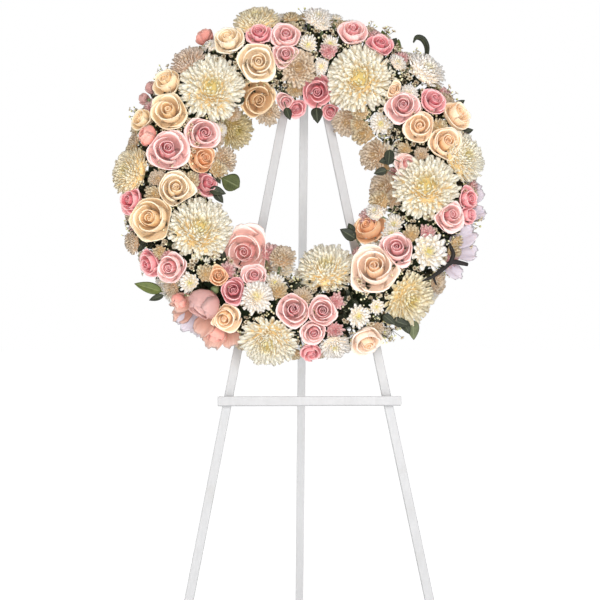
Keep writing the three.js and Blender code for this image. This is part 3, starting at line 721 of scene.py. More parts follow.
def painted_wood(name, paint):
    """White gloss paint over planed timber: brush marks and faint grain."""
    made = Finish(name)
    place = made.node("ShaderNodeTexCoord", output="Object")
    stretched = made.node("ShaderNodeVectorMath", {"operation": "MULTIPLY"}, {
        0: place, 1: (260.0, 260.0, 9.0),
    })
    brush = made.noise(1.0, 4.0, stretched)
    grain = made.noise(38.0, 5.0)
    dull = tuple(c * 0.86 for c in paint)
    colour = made.mix(made.ramp(brush, (0.3, 0.0), (0.75, 0.5)), paint, dull)
    warm = (paint[0] * 0.9, paint[1] * 0.87, paint[2] * 0.8)
    colour = made.mix(made.ramp(grain, (0.55, 0.0), (0.85, 0.35)), colour, warm)
    rough = made.ramp(grain, (0.3, 0.34), (0.7, 0.5))
    made.bump(brush * 0.7 + grain * 0.5, 0.35, 0.35 * MM)
    return made.finish(colour, rough, Specular_IOR_Level=0.45)


def metal(name, colour, dark, roughness):
    """Plated steel: faint clouding and fine draw marks."""
    made = Finish(name)
    cloud = made.noise(150.0, 4.0)
    mark = made.noise(900.0, 2.0)
    blend = made.mix(made.ramp(cloud, (0.35, 0.0), (0.7, 1.0)), colour, dark)
    made.bump(mark, 0.12, 0.1 * MM)
    rough = made.ramp(cloud, (0.3, roughness - 0.08), (0.7, roughness + 0.12))
    return made.finish(blend, rough, Metallic=1.0)


def moulded(name, light, dark, roughness, scale, depth):
    """Plastic, foam, bark and other bodies with a fine mottled surface."""
    made = Finish(name)
    speck = made.noise(scale, 5.0)
    colour = made.mix(made.ramp(speck, (0.3, 0.0), (0.7, 1.0)), dark, light)
    made.bump(speck, 0.6, depth)
    return made.finish(colour, roughness)


# ---- settings a user would change -----------------------------------------------------------


def colour_setting(name, description, value):
    """A colour that a user picks."""
    return bpy.props.FloatVectorProperty(
        name=name, description=description, default=value, size=3, min=0.0, max=1.0, subtype="COLOR",
    )


def number_setting(name, description, value, **kind):
    """A number, with its limits and its unit or subtype."""
    return bpy.props.FloatProperty(name=name, description=description, default=value, **kind)


def length_setting(name, description, value):
    """A length in metres."""
    return number_setting(name, description, value, min=0.0, precision=4, unit="LENGTH", subtype="DISTANCE")


class EaselSettings(bpy.types.PropertyGroup):
    """Paint and edges of the wooden easel."""

    paint: colour_setting("Paint", "White paint of the easel", tone(196, 196, 197))
    # The back leg's lighter paint is painted light: it lifts the shade on the leg's downward face.
    back_paint: colour_setting(
        "Back leg paint", "White paint of the back leg, painted lighter where shade falls on it", tone(221, 221, 222),
    )
    edge: length_setting("Eased edge", "Rounding along the timber's edges", 1.3 * MM)
    zinc: colour_setting("Zinc", "Plating of the hinge, screws and hook", tone(176, 178, 180))


class RoseSettings(bpy.types.PropertyGroup):
    """Size and colours of the roses."""

    openness: number_setting(
        "Openness", "Outer radius of a rose over its nominal radius", 1.12,
        min=0.8, max=1.3, subtype="FACTOR",
    )
    petal: length_setting("Petal thickness", "Thickness of a rose petal", 0.55 * MM)
    cream: colour_setting("Cream", "Body of the cream roses", tone(245, 223, 190))
    peach: colour_setting("Peach", "Body of the peach roses", tone(250, 220, 186))
    pink: colour_setting("Pink", "Body of the pink roses", tone(249, 204, 198))
    heart: colour_setting("Raspberry", "Heart of the pink roses", tone(204, 88, 102))
    mauve: colour_setting("Mauve", "Body of the mauve roses", tone(196, 151, 145))


class MumSettings(bpy.types.PropertyGroup):
    """Size and colours of the chrysanthemums."""

    fullness: number_setting(
        "Fullness", "Outer radius of a head over its nominal radius", 1.06,
        min=0.8, max=1.3, subtype="FACTOR",
    )
    florets: bpy.props.IntProperty(
        name="Florets", description="Number of curled florets in a large head", default=280, min=60, max=400,
    )
    petal: length_setting("Floret thickness", "Thickness of a floret", 0.6 * MM)
    ivory: colour_setting("Ivory", "Tips of the large chrysanthemums", tone(255, 250, 232))
    white: colour_setting("White", "Tips of the small chrysanthemums", tone(255, 249, 242))
    heart: colour_setting("Green heart", "Young florets in the middle", tone(232, 222, 150))


class GreenerySettings(bpy.types.PropertyGroup):
    """Filler flowers and leaves."""

    dark_leaf: colour_setting("Dark leaf", "Leaves between the flowers", tone(52, 60, 34))
    bright_leaf: colour_setting("Bright leaf", "Young leaves at the edge", tone(118, 130, 58))
    grey_leaf: colour_setting("Grey leaf", "Round grey-green leaves", tone(112, 118, 84))
    spray: length_setting("Sprig spread", "Radius of a sprig of filler", 9 * MM)
    seed: bpy.props.IntProperty(name="Seed", description="Order of the filler", default=11, min=0)


class StageSettings(bpy.types.PropertyGroup):
    """Camera and light."""

    camera_place: bpy.props.FloatVectorProperty(
        name="Camera", description="Where the camera stands", default=(-0.0813, -2.720, 0.7956),
        size=3, subtype="XYZ", unit="LENGTH",
    )
    pitch: number_setting("Pitch", "Camera tilt below the horizon", math.radians(0.84), unit="ROTATION")
    yaw: number_setting("Yaw", "Camera turn towards +X", math.radians(1.77), unit="ROTATION")
    lens: number_setting("Lens", "Focal length on a 36 mm sensor", 93.96, min=20, max=200, unit="CAMERA")
    key: number_setting("Key light", "Power of the large soft light above", 36.0, min=0, unit="POWER")
    room: number_setting("Room light", "Strength of the even light from all around", 0.44, min=0)


# ---- easel ----------------------------------------------------------------------------------

WELD = 0.2 * MM
SAME_PLANE = math.radians(2)
# Faces under this many squares of the eased edge, and triangles, are shaded smooth.
EASED_SQUARES = 20


def eased_timber(node, edge):
    """A length of timber with the corners of its CAD solid, and rounded edges."""
    work = bmesh.new()
    for point in node_points(node):
        work.verts.new(point)
    hull = bmesh.ops.convex_hull(work, input=work.verts)
    unused = hull["geom_interior"] + hull["geom_unused"]
    loose = {item for item in unused if isinstance(item, bmesh.types.BMVert)}
    bmesh.ops.delete(work, geom=list(loose), context="VERTS")
    bmesh.ops.remove_doubles(work, verts=work.verts, dist=WELD)
    bmesh.ops.dissolve_limit(work, angle_limit=SAME_PLANE, verts=work.verts, edges=work.edges)
    bmesh.ops.bevel(work, geom=work.edges[:], offset=edge, segments=3, profile=0.5, affect="EDGES")
    bmesh.ops.recalc_face_normals(work, faces=work.faces)
    mesh = bpy.data.meshes.new(node + ".timber")
    work.to_mesh(mesh)
    work.free()
    for face in mesh.polygons:
        face.use_smooth = face.area < EASED_SQUARES * edge * edge or len(face.vertices) == 3
    return linked(node + ".timber", mesh)


class WREATH_OT_easel(bpy.types.Operator):
    """Build the painted timber of the easel"""

    bl_idname = "wreath.easel"
    bl_label = "Easel"

    def execute(self, context):
        settings = context.scene.wreath_easel
        paint = painted_wood("white_paint", tuple(settings.paint))
        # The back leg gets a lighter copy of the paint: painted light on its shaded face.
        fresh = painted_wood("white_paint_back_leg_with_painted_light", tuple(settings.back_paint))
        for node in ("front_leg_left", "front_leg_right", "crossbar", "head_board", "back_leg"):
            piece = eased_timber(node, settings.edge)
            piece.data.materials.append(fresh if node == "back_leg" else paint)
            body = "back_leg_assembly" if node == "back_leg" else EASEL_BODY
            dress(piece, "white_painted_wood", node, body=body)
        return {"FINISHED"}


class WREATH_OT_hardware(bpy.types.Operator):
    """Finish the hinge, the screws, the hook and the hanging loop"""

    bl_idname = "wreath.hardware"
    bl_label = "Hinge and hardware"

    def execute(self, context):
        zinc = tuple(context.scene.wreath_easel.zinc)
        plated = metal("zinc_plate", zinc, tuple(c * 0.62 for c in zinc), 0.34)
        wire = metal("florist_wire", tone(96, 108, 92), tone(58, 70, 56), 0.42)
        for node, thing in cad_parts.items():
            if node == "hanging_loop":
                self.paint(thing, wire)
            elif "screw" in node or node.startswith("hinge") or node == "hanging_hook":
                self.paint(thing, plated)
        return {"FINISHED"}

    @staticmethod
    def paint(thing, finish):
        thing.data.materials.clear()
        thing.data.materials.append(finish)


# ---- wreath base ----------------------------------------------------------------------------

TRAY_FLOOR = 2.5 * MM
TRAY_WALL = 2 * MM
FOAM_GAP = 0.3 * MM
FOAM_SHOULDER = 28.1 * MM
FOAM_CROWN = 47.1 * MM
RING_SIDES = 160
# The foam's shoulders: how far they rise, and the shares of its half width that slope and lie flat.
FOAM_RISE = 8 * MM
FOAM_SLOPE = 0.12
FOAM_FLAT = 0.45


def ring_body(name, profile, finish, slot_name, node):
    """A body turned about z and laid into the leaning ring, its height out of the front."""
    points, faces = turned(profile, RING_SIDES, closed_loop=True)
    mesh = Mesh()
    mesh.add(RING_BACK + points[:, :1] * ACROSS + points[:, 1:2] * UP + points[:, 2:] * FRONT, faces)
    dress(mesh.build(name, [finish], smooth=False), slot_name, node)


class WREATH_OT_base(bpy.types.Operator):
    """Build the plastic tray and the flower foam in it"""

    bl_idname = "wreath.base"
    bl_label = "Tray and foam"

    def execute(self, context):
        inner, outer, rim = TRAY_INNER, TRAY_OUTER, TRAY_DEPTH
        round_over = TRAY_WALL / 2
        profile = [
            (inner + round_over, 0), (outer - round_over, 0), (outer, round_over),
            (outer, rim - round_over), (outer - round_over, rim), (outer - TRAY_WALL, rim - round_over),
            (outer - TRAY_WALL, TRAY_FLOOR), (inner + TRAY_WALL, TRAY_FLOOR),
            (inner + TRAY_WALL, rim - round_over), (inner + round_over, rim), (inner, rim - round_over),
            (inner, round_over),
        ]
        green = moulded("green_tray", tone(46, 76, 54), tone(34, 58, 42), 0.42, 400.0, 0.08 * MM)
        ring_body("wreath_tray.ring", profile, green, "green_tray", "wreath_tray")

        edge = TRAY_WALL + FOAM_GAP
        low, high = inner + edge, outer - edge
        middle, half = (low + high) / 2, (high - low) / 2
        profile = [
            (low, TRAY_FLOOR + FOAM_GAP), (high, TRAY_FLOOR + FOAM_GAP), (high, FOAM_SHOULDER),
            (high - half * FOAM_SLOPE, FOAM_SHOULDER + FOAM_RISE), (middle + half * FOAM_FLAT, FOAM_CROWN),
            (middle - half * FOAM_FLAT, FOAM_CROWN), (low + half * FOAM_SLOPE, FOAM_SHOULDER + FOAM_RISE),
            (low, FOAM_SHOULDER),
        ]
        crumb = moulded("floral_foam", tone(52, 72, 44), tone(30, 44, 28), 0.95, 700.0, 0.5 * MM)
        ring_body("foam_ring.block", profile, crumb, "floral_foam", "foam_ring")
        return {"FINISHED"}


# ---- heads ----------------------------------------------------------------------------------

STEM_RADIUS = 2.2 * MM
STEM_FOOT = FOAM_SURFACE * 0.6
STEM_BEND = 0.2

SLOT_KINDS = {
    "cream_petals": ("cream", "cream_deep", "cream_dim", "blush"),
    "peach_petals": ("peach", "orange"),
    "pink_petals": ("pink", "pink_deep", "dusty"),
    "mauve_petals": ("mauve", "salmon"),
    "ivory_petals": ("mum", "mum_shade", "mum_dim", "mum_blush", "mum_open"),
    "white_petals": ("small_mum", "small_mum_blush", "daisy", "ruffle_beige", "ruffle_pink"),
}
KIND_SLOTS = {kind: slot_name for slot_name, kinds in SLOT_KINDS.items() for kind in kinds}

# Painted shade at the foot of petals and florets, which many heads share.
BROWN_SHADE = (160, 108, 68)
WINE_SHADE = (124, 34, 46)
STRAW_SHADE = (212, 172, 112)


def add_petals(mesh, bloom, surface, layer, thickness, finish, rng, along=None):
    """A head's petals, from surfaces about its centre that face +z."""
    world = surface @ basis(bloom.axis, bloom.turn).T + bloom.centre
    world = nestle(world.reshape(-1, 3), bloom).reshape(world.shape)
    chance = rng.uniform(0, 1, len(layer))
    mesh.add(*sheets(world, thickness, layer, chance, along), finish)


def add_cup(mesh, bloom, profile, size, sides, finish):
    """Green cup under a head, its profile in shares of the head's radius."""
    points, faces = turned(np.array(profile) * size, sides)
    mesh.add(points @ basis(bloom.axis).T + bloom.centre, faces, None, finish)


def add_stem(mesh, bloom, top, finish):
    """Green stem from the foam, curving into the head."""
    foot = bloom.root + bloom.outward * STEM_FOOT
    crown = bloom.centre + bloom.axis * top
    bend = (foot + crown) / 2 + (bloom.outward - bloom.axis) * bloom.size * STEM_BEND
    mesh.add(*tube(arc(foot, bend, crown, 6), STEM_RADIUS, 8), finish)


def head_finishes(settings, colours, make):
    """A finish for each kind in a table of names and colours; a word there names a setting."""
    return {
        kind: make(name, *(
            tuple(getattr(settings, tint)) if isinstance(tint, str) else tone(*tint) for tint in tints
        ))
        for kind, (name, *tints) in colours.items()
    }


def build_heads(settings, finishes, add_head, green):
    """One piece for every group of heads that has these finishes."""
    for name, blooms in BLOOMS.items():
        if blooms[0].kind not in finishes:
            continue
        kinds = sorted({bloom.kind for bloom in blooms})
        mesh = Mesh()
        for bloom in blooms:
            add_head(mesh, bloom, settings, kinds.index(bloom.kind), len(kinds))
        piece = mesh.build(name + ".bloom", [finishes[kind] for kind in kinds] + [green])
        nodes = [name] if name in FLOWERS else []
        dress(piece, KIND_SLOTS[blooms[0].kind], *nodes)


# ---- roses ----------------------------------------------------------------------------------

ROSE_WHORLS = ((0.0, 2), (0.12, 3), (0.28, 3), (0.6, 4), (1.0, 5))
CUPPED_WHORLS = ((0.0, 2), (0.3, 3), (0.62, 3), (1.0, 4))
LIP_START = 0.7
LARGE_ROSE = 22 * MM
ROSE_STEM_TOP = -0.85

# The green cup's profile, in shares of the rose's radius.
ROSE_CUP = ((0, -0.95), (0.08, -0.93), (0.15, -0.80), (0.2, -0.68), (0.16, -0.58), (0, -0.56))

# Each kind's finish: its name, then rim, body, heart and base; the base is painted shade deep in the flower.
ROSE_COLOURS = {
    "cream": ("cream_petals", (250, 240, 220), "cream", (240, 206, 156), BROWN_SHADE),
    "cream_deep": ("deep_cream_petals", (248, 232, 204), (240, 213, 174), (232, 190, 138), BROWN_SHADE),
    "blush": ("blush_petals", (254, 240, 226), (250, 224, 204), (238, 194, 144), BROWN_SHADE),
    "peach": ("peach_petals", (254, 236, 212), "peach", (238, 188, 136), BROWN_SHADE),
    "orange": ("orange_petals", (250, 214, 180), (238, 186, 144), (214, 142, 92), BROWN_SHADE),
    # A darker copy of the cream roses: painted shade for the rose that faces into the ring.
    "cream_dim": ("shaded_cream_petals", (236, 210, 176), (224, 190, 148), (204, 158, 108), BROWN_SHADE),
    "pink": ("pink_petals", (250, 222, 218), "pink", "heart", WINE_SHADE),
    "pink_deep": ("deep_pink_petals", (250, 202, 202), (236, 158, 162), (190, 66, 84), WINE_SHADE),
    "dusty": ("dusty_pink_petals", (250, 226, 218), (247, 210, 200), (206, 104, 108), (226, 170, 162)),
    "mauve": ("mauve_petals", (214, 170, 164), "mauve", (190, 136, 134), (160, 104, 102)),
    "salmon": ("salmon_petals", (248, 192, 176), (232, 154, 142), (198, 100, 96), WINE_SHADE),
}


def rose_surface(size, rng, cells, cupped):
    """Petal surfaces of a rose of radius size about its centre, facing +z, and each one's layer.

    A cupped rose has few petals: its large outer ones still close over the heart.
    """
    whorls = CUPPED_WHORLS if cupped else ROSE_WHORLS
    layer = np.concatenate([np.full(count, depth) for depth, count in whorls])
    turn = np.concatenate([
        rng.uniform(0, 2 * math.pi) + 2 * math.pi * np.arange(count) / count for _, count in whorls
    ])
    count = len(layer)
    turn += rng.normal(0, 0.18, count)
    q = np.clip(layer + rng.normal(0, 0.02, count), 0, 1)[:, None, None]
    u = np.linspace(-1, 1, cells + 1)[None, None, :]
    v = petal_rows(cells)[None, :, None]
    half = np.interp(q, [0, 0.1, 0.3, 0.6, 1.0], [2.1, 1.75, 1.45, 1.2, 1.05])
    rim_radius = np.interp(q, [0, 0.1, 0.35, 0.7, 1.0], [0.05, 0.13, 0.36, 0.68, 0.92])
    rim_height = np.interp(q, [0, 0.2, 0.5, 0.75, 1.0], [0.24, 0.36, 0.32, 0.14, -0.07])
    if cupped:
        rim_radius = rim_radius * (1 - 0.42 * q)
        rim_height = rim_height + 0.42 * q
        half = half + 0.5 * q
    rim_radius = rim_radius * (1 + rng.normal(0, 0.06, count))[:, None, None]
    rim_height = rim_height + rng.normal(0, 0.045, count)[:, None, None]
    # Rounded top edge: the corners stop lower on the same profile, the middle comes to a soft point.
    t = v * (1 - (0.08 + 0.26 * q) * np.abs(u) ** 2.4 + 0.04 * q * (1 - np.abs(u)) ** 2)
    body, lip = np.minimum(t / LIP_START, 1), np.maximum(t - LIP_START, 0) / (1 - LIP_START)
    knots = [
        (0.05 + 0.05 * q, -0.62 + 0.06 * q),
        (rim_radius * 1.05 + 0.10, -0.52 + 0.1 * q),
        (rim_radius * (1.16 - 0.30 * q) + (0.5 * q if cupped else 0.03), rim_height - 0.30 + 0.22 * q),
        (rim_radius, rim_height),
    ]
    radius, height = (cubic(body, *(knot[axis] for knot in knots)) for axis in (0, 1))
    # The lip rolls outwards in an arc that carries on from the petal's own slope.
    slope = np.arctan2(knots[3][0] - knots[2][0], knots[3][1] - knots[2][1])
    curl = (0.035 + 0.075 * q) * (1 + rng.normal(0, 0.15, count)[:, None, None])
    roll = np.radians(62 + 48 * q) * (0.75 + 0.25 * np.cos(2.6 * u))
    radius = radius + curl * (np.cos(slope) - np.cos(slope + roll * lip))
    height = height + curl * (np.sin(slope + roll * lip) - np.sin(slope))
    # Each petal tucks one side under its neighbour and lays the other over it.
    tuck = (0.17 - 0.09 * q) * u
    wave = rng.uniform(0, 2 * math.pi, count)[:, None, None]
    ripple = (0.006 + 0.026 * q) * v**3 * np.sin(5.2 * u + wave)
    radius = radius * (1 + tuck) + ripple
    angle = turn[:, None, None] + half * u * (0.35 + 0.65 * smooth_step(v, 0, 0.5))
    surface = np.stack([radius * np.cos(angle), radius * np.sin(angle), height + ripple * 0.6], axis=3)
    return surface * size, layer


def petal_rows(cells):
    """Rows from base to rim, closer together in the rolled lip."""
    lip_rows = cells // 2
    body = np.linspace(0, LIP_START, cells + 1 - lip_rows)
    return np.concatenate([body, np.linspace(LIP_START, 1, lip_rows + 1)[1:]])


def add_rose(mesh, bloom, settings, petals, green):
    """One rose: petals, calyx and stem."""
    rng = np.random.default_rng(bloom.seed)
    cells = 8 if bloom.size > LARGE_ROSE else 6
    size = bloom.size * settings.openness
    surface, layer = rose_surface(size, rng, cells, bloom.kind in CUPPED_TURN)
    add_petals(mesh, bloom, surface, layer, settings.petal, petals, rng, petal_rows(cells))
    add_cup(mesh, bloom, ROSE_CUP, size, 10, green)
    add_stem(mesh, bloom, ROSE_STEM_TOP * size, green)


class WREATH_OT_roses(bpy.types.Operator):
    """Build every rose, petal by petal"""

    bl_idname = "wreath.roses"
    bl_label = "Roses"

    def execute(self, context):
        settings = context.scene.wreath_roses
        finishes = head_finishes(settings, ROSE_COLOURS, petal_finish)
        green = leaf_finish("rose_green", tone(96, 120, 66), tone(58, 78, 40), 0.5)
        build_heads(settings, finishes, add_rose, green)
        return {"FINISHED"}


# ---- chrysanthemums -------------------------------------------------------------------------

GOLDEN_ANGLE = math.radians(137.508)
MUM_STEM_TOP = -0.55

# Large and middling heads have more cells along a floret; below FULL_MUM a head has fewer florets.
LARGE_MUM = 30 * MM
MIDDLE_MUM = 19.5 * MM
FULL_MUM = 20 * MM
FEWEST_FLORETS = 0.75

# The green cup's profile, in shares of the head's radius.
MUM_CUP = ((0, -0.58), (0.1, -0.57), (0.26, -0.5), (0.3, -0.42), (0.2, -0.38), (0, -0.37))
# Where along a floret the packed heart takes its colour: part way to the foot, so that it carries some
# painted shade.
PACKED_ALONG_IN_SHADE = 0.48

# Each kind's finish: its name, then tip, body, heart and base; the base is painted shade where the florets
# crowd.
# mum_shade and mum_dim are darker copies of the ivory heads, painted shade for heads in shade; mum_blush,
# small_mum_blush and ruffle_beige are their own blush and beige, darkened by painted shade too.
MUM_COLOURS = {
    "mum": ("ivory_florets", "ivory", (246, 222, 172), "heart", STRAW_SHADE),
    "mum_open": ("open_florets", (246, 234, 202), (236, 216, 166), (226, 208, 96), STRAW_SHADE),
    "mum_shade": ("shaded_florets", (253, 240, 208), (242, 216, 166), "heart", STRAW_SHADE),
    "mum_dim": ("olive_florets", (226, 208, 164), (202, 180, 124), (190, 176, 88), (150, 118, 66)),
    "mum_blush": ("blush_florets", (233, 211, 192), (216, 187, 160), (216, 186, 148), (184, 146, 112)),
    "small_mum": ("white_florets", "white", (246, 234, 218), "heart", (214, 188, 156)),
    "small_mum_blush": (
        "pale_blush_florets", (224, 203, 178), (205, 177, 145), (206, 178, 132), (172, 134, 98),
    ),
    "ruffle_beige": ("beige_ruffles", (220, 201, 167), (198, 171, 131), (196, 164, 112), (160, 120, 76)),
    "ruffle_pink": ("pink_ruffles", (232, 190, 184), (212, 154, 152), (190, 120, 122), (150, 86, 88)),
    "daisy": ("daisy_florets", "white", (238, 226, 208), (206, 196, 96), (200, 180, 130)),
}


def mum_surface(size, rng, count, width, dome, curl, cells_along):
    """Curled florets of a chrysanthemum of radius size, facing +z, and each one's layer."""
    order = (np.arange(count) + 0.6) / count
    layer = np.sqrt(order)
    turn = np.arange(count) * GOLDEN_ANGLE + rng.normal(0, 0.06, count)
    stretch = 1 + rng.normal(0, 0.05, count)
    q = layer[:, None]
    t = np.linspace(0, 1, cells_along + 1)[None, :]
    tip_radius = (q * 0.98 + 0.02) * stretch[:, None]
    tip_height = dome * (1 - q**2.2) - 0.16 * q**6
    tip_height = tip_height + rng.normal(0, 0.025, count)[:, None]
    base_radius, base_height = 0.04 + 0.16 * q, -0.30 - 0.12 * q
    # A floret ends upright in the middle of the head and lies almost flat at its edge.
    lay = math.radians(76) * q**1.1 - curl * (1 - q) + rng.normal(0, 0.16, count)[:, None]
    tail = 0.24 + 0.16 * q
    p1r, p1h = base_radius + 0.35 * tip_radius, base_height + 0.06 - 0.06 * q**2
    p2r, p2h = tip_radius - tail * np.sin(lay), tip_height - tail * np.cos(lay)
    radius = cubic(t, base_radius, p1r, p2r, tip_radius)
    height = cubic(t, base_height, p1h, p2h, tip_height)
    slope_r, slope_h = np.gradient(radius, axis=1), np.gradient(height, axis=1)
    length = np.hypot(slope_r, slope_h)
    normal_r, normal_h = -slope_h / length, slope_r / length
    across = np.array([-1.0, 0.0, 1.0])
    taper = np.interp(t, [0, 0.3, 0.7, 0.9, 1.0], [0.35, 0.6, 1.0, 1.0, 0.62])
    half = width * taper * (0.7 + 0.3 * smooth_step(q, 0.0, 0.4))
    twist = rng.normal(0, 0.35, count)[:, None]
    channel = 0.55
    side = (half * np.cos(twist))[..., None] * across
    lift = (half * np.sin(twist))[..., None] * across + (half * channel)[..., None] * np.abs(across)
    r = radius[..., None] + normal_r[..., None] * lift
    h = height[..., None] + normal_h[..., None] * lift
    sway = rng.normal(0, 0.035, count)[:, None, None] * t[..., None] ** 2
    cos, sin = np.cos(turn)[:, None, None], np.sin(turn)[:, None, None]
    s = side + sway
    surface = np.stack([r * cos - s * sin, r * sin + s * cos, h], axis=3)
    return surface * size, layer


MUM_KINDS = {
    # kind: (florets as a share, width, dome, inward curl)
    "mum": (1.0, 0.074, 0.34, 0.5),
    "mum_shade": (0.9, 0.076, 0.34, 0.5),
    "mum_dim": (0.8, 0.076, 0.34, 0.5),
    "mum_blush": (0.7, 0.076, 0.32, 0.5),
    "mum_open": (0.7, 0.08, 0.28, 0.4),
    "small_mum": (0.4, 0.105, 0.28, 0.4),
    "small_mum_blush": (0.34, 0.12, 0.28, 0.3),
    "daisy": (0.16, 0.13, 0.16, 0.2),
    "ruffle_beige": (0.14, 0.17, 0.34, 0.3),
    "ruffle_pink": (0.14, 0.17, 0.34, 0.3),
}


def add_mum(mesh, bloom, settings, florets, green):
    """One chrysanthemum: florets, green cup and stem."""
    rng = np.random.default_rng(bloom.seed)
    share, width, dome, curl = MUM_KINDS[bloom.kind]
    size = bloom.size * settings.fullness
    cells_along = 6 if bloom.size > LARGE_MUM else 4 if bloom.size > MIDDLE_MUM else 3
    count = int(settings.florets * share * np.clip(bloom.size / FULL_MUM, FEWEST_FLORETS, 1))
    surface, layer = mum_surface(size, rng, count, width, dome, curl, cells_along)
    add_petals(mesh, bloom, surface, layer, settings.petal, florets, rng)
    add_cup(mesh, bloom, MUM_CUP, size, 12, green)
    # The packed undersides of the inner florets, seen only as the ground between the outer ones, coloured
    # with some painted shade.
    radii = np.linspace(0, 0.68, 9)
    ground = (dome - 0.34) * (1 - radii**2.2) - 0.16 * radii**2
    profile = np.concatenate([[(0, -0.42)], [(0.56, -0.36)], np.stack([radii, ground], axis=1)[::-1]])
    heart, heart_faces = turned(profile * size, 24)
    packed = np.zeros((len(heart), 4))
    packed[:, 0] = PACKED_ALONG_IN_SHADE
    packed[:, 2] = np.hypot(heart[:, 0], heart[:, 1]) / size
    heart = nestle(heart @ basis(bloom.axis).T + bloom.centre, bloom)
    mesh.add(heart, heart_faces, packed, florets)
    add_stem(mesh, bloom, MUM_STEM_TOP * size, green)


class WREATH_OT_mums(bpy.types.Operator):
    """Build every chrysanthemum, floret by floret"""

    bl_idname = "wreath.mums"
    bl_label = "Chrysanthemums"

    def execute(self, context):
        settings = context.scene.wreath_mums
        finishes = head_finishes(settings, MUM_COLOURS, floret_finish)
        green = leaf_finish("mum_green", tone(104, 124, 74), tone(64, 84, 46), 0.55)
        build_heads(settings, finishes, add_mum, green)
        return {"FINISHED"}


# ---- filler and leaves ----------------------------------------------------------------------

LEAF_THICKNESS = 0.5 * MM
FLORET_THICKNESS = 0.4 * MM

# Sprigs stand at this reach in the gaps: steps round the ring and the tube, the tube angles they
# cover, the least clearance from a bloom, and the distance that they keep from one another.
SPRIG_REACH = 63 * MM
RING_STEP = 2.5
TUBE_STEP = 7
TUBE_RANGE = (-96, 100)
SPRIG_LEAST = -1 * MM
SPRIG_APART = 14 * MM


def leaf_template(length, width, fold, bend, cells, blunt=0.0):
    """Closed leaf blade from its stalk at the origin along +z, its face towards +y."""
    v = np.linspace(0, 1, cells + 3)[:, None]
    u = np.linspace(-1, 1, cells + 1)[None, :]
    outline = np.sin(math.pi * v ** (0.75 + blunt)) ** (0.8 - 0.3 * blunt)
    x = u * np.maximum(outline, 0.03) * width / 2
    y = fold * np.abs(x) - bend * length * v**2
    surface = np.stack(np.broadcast_arrays(x, y, v * length), axis=2)[None]
    return sheets(surface, LEAF_THICKNESS, 0.0, 0.0)


def floret_template(radius):
    """Five-petalled filler floret facing +z, with a cupped middle."""
    turn = 2 * math.pi * np.arange(5) / 5
    v = np.array([0, 0.6, 1])
    u = np.array([-1.0, 0.0, 1.0])
    half = np.array([0.12, 0.5, 0.25])[:, None] * u
    out = (0.1 + 0.9 * v)[:, None] - 0.08 * np.abs(u)
    high = (0.35 * v**2)[:, None] + 0.12 * np.abs(u)
    cos, sin = np.cos(turn)[:, None, None], np.sin(turn)[:, None, None]
    parts = np.broadcast_arrays(out * cos - half * sin, out * sin + half * cos, high)
    return sheets(np.stack(parts, axis=3) * radius, FLORET_THICKNESS, 0.0, 0.0, v)


def bud_template(radius):
    """Small closed bud on the origin, facing +z."""
    profile = [(0, -1.0), (0.85, -0.4), (0.85, 0.5), (0, 1.1)]
    points, faces = turned(np.array(profile) * radius, 6)
    values = np.zeros((len(points), 4))
    values[:, 0] = (points[:, 2] / radius + 1) / 2
    return points, faces, values


def clearance(point):
    """How far a point stands outside the nearest bloom."""
    return (np.linalg.norm(point - CENTRES, axis=1) - RADII).min()


def gap_spots(rng):
    """Places on the tube between the blooms, kept apart from one another."""
    spots = []
    for ring in np.arange(0, 360, RING_STEP):
        for tube_angle in np.arange(*TUBE_RANGE, TUBE_STEP):
            ring_shift = rng.uniform(-1, 1) * RING_STEP / 2
            tube_shift = rng.uniform(-1, 1) * TUBE_STEP / 2
            point, axis = on_ring(ring + ring_shift, tube_angle + tube_shift, SPRIG_REACH)
            if clearance(point) > SPRIG_LEAST:
                spots.append((point, axis))
    kept = []
    for index in rng.permutation(len(spots)):
        point, axis = spots[index]
        if all(np.linalg.norm(point - other) > SPRIG_APART for other, _ in kept):
            kept.append((point, axis))
    return kept


def leaning(rng, axis, spread):
    """A direction scattered about an axis."""
    direction = axis + rng.normal(0, spread, 3)
    return direction / np.linalg.norm(direction)


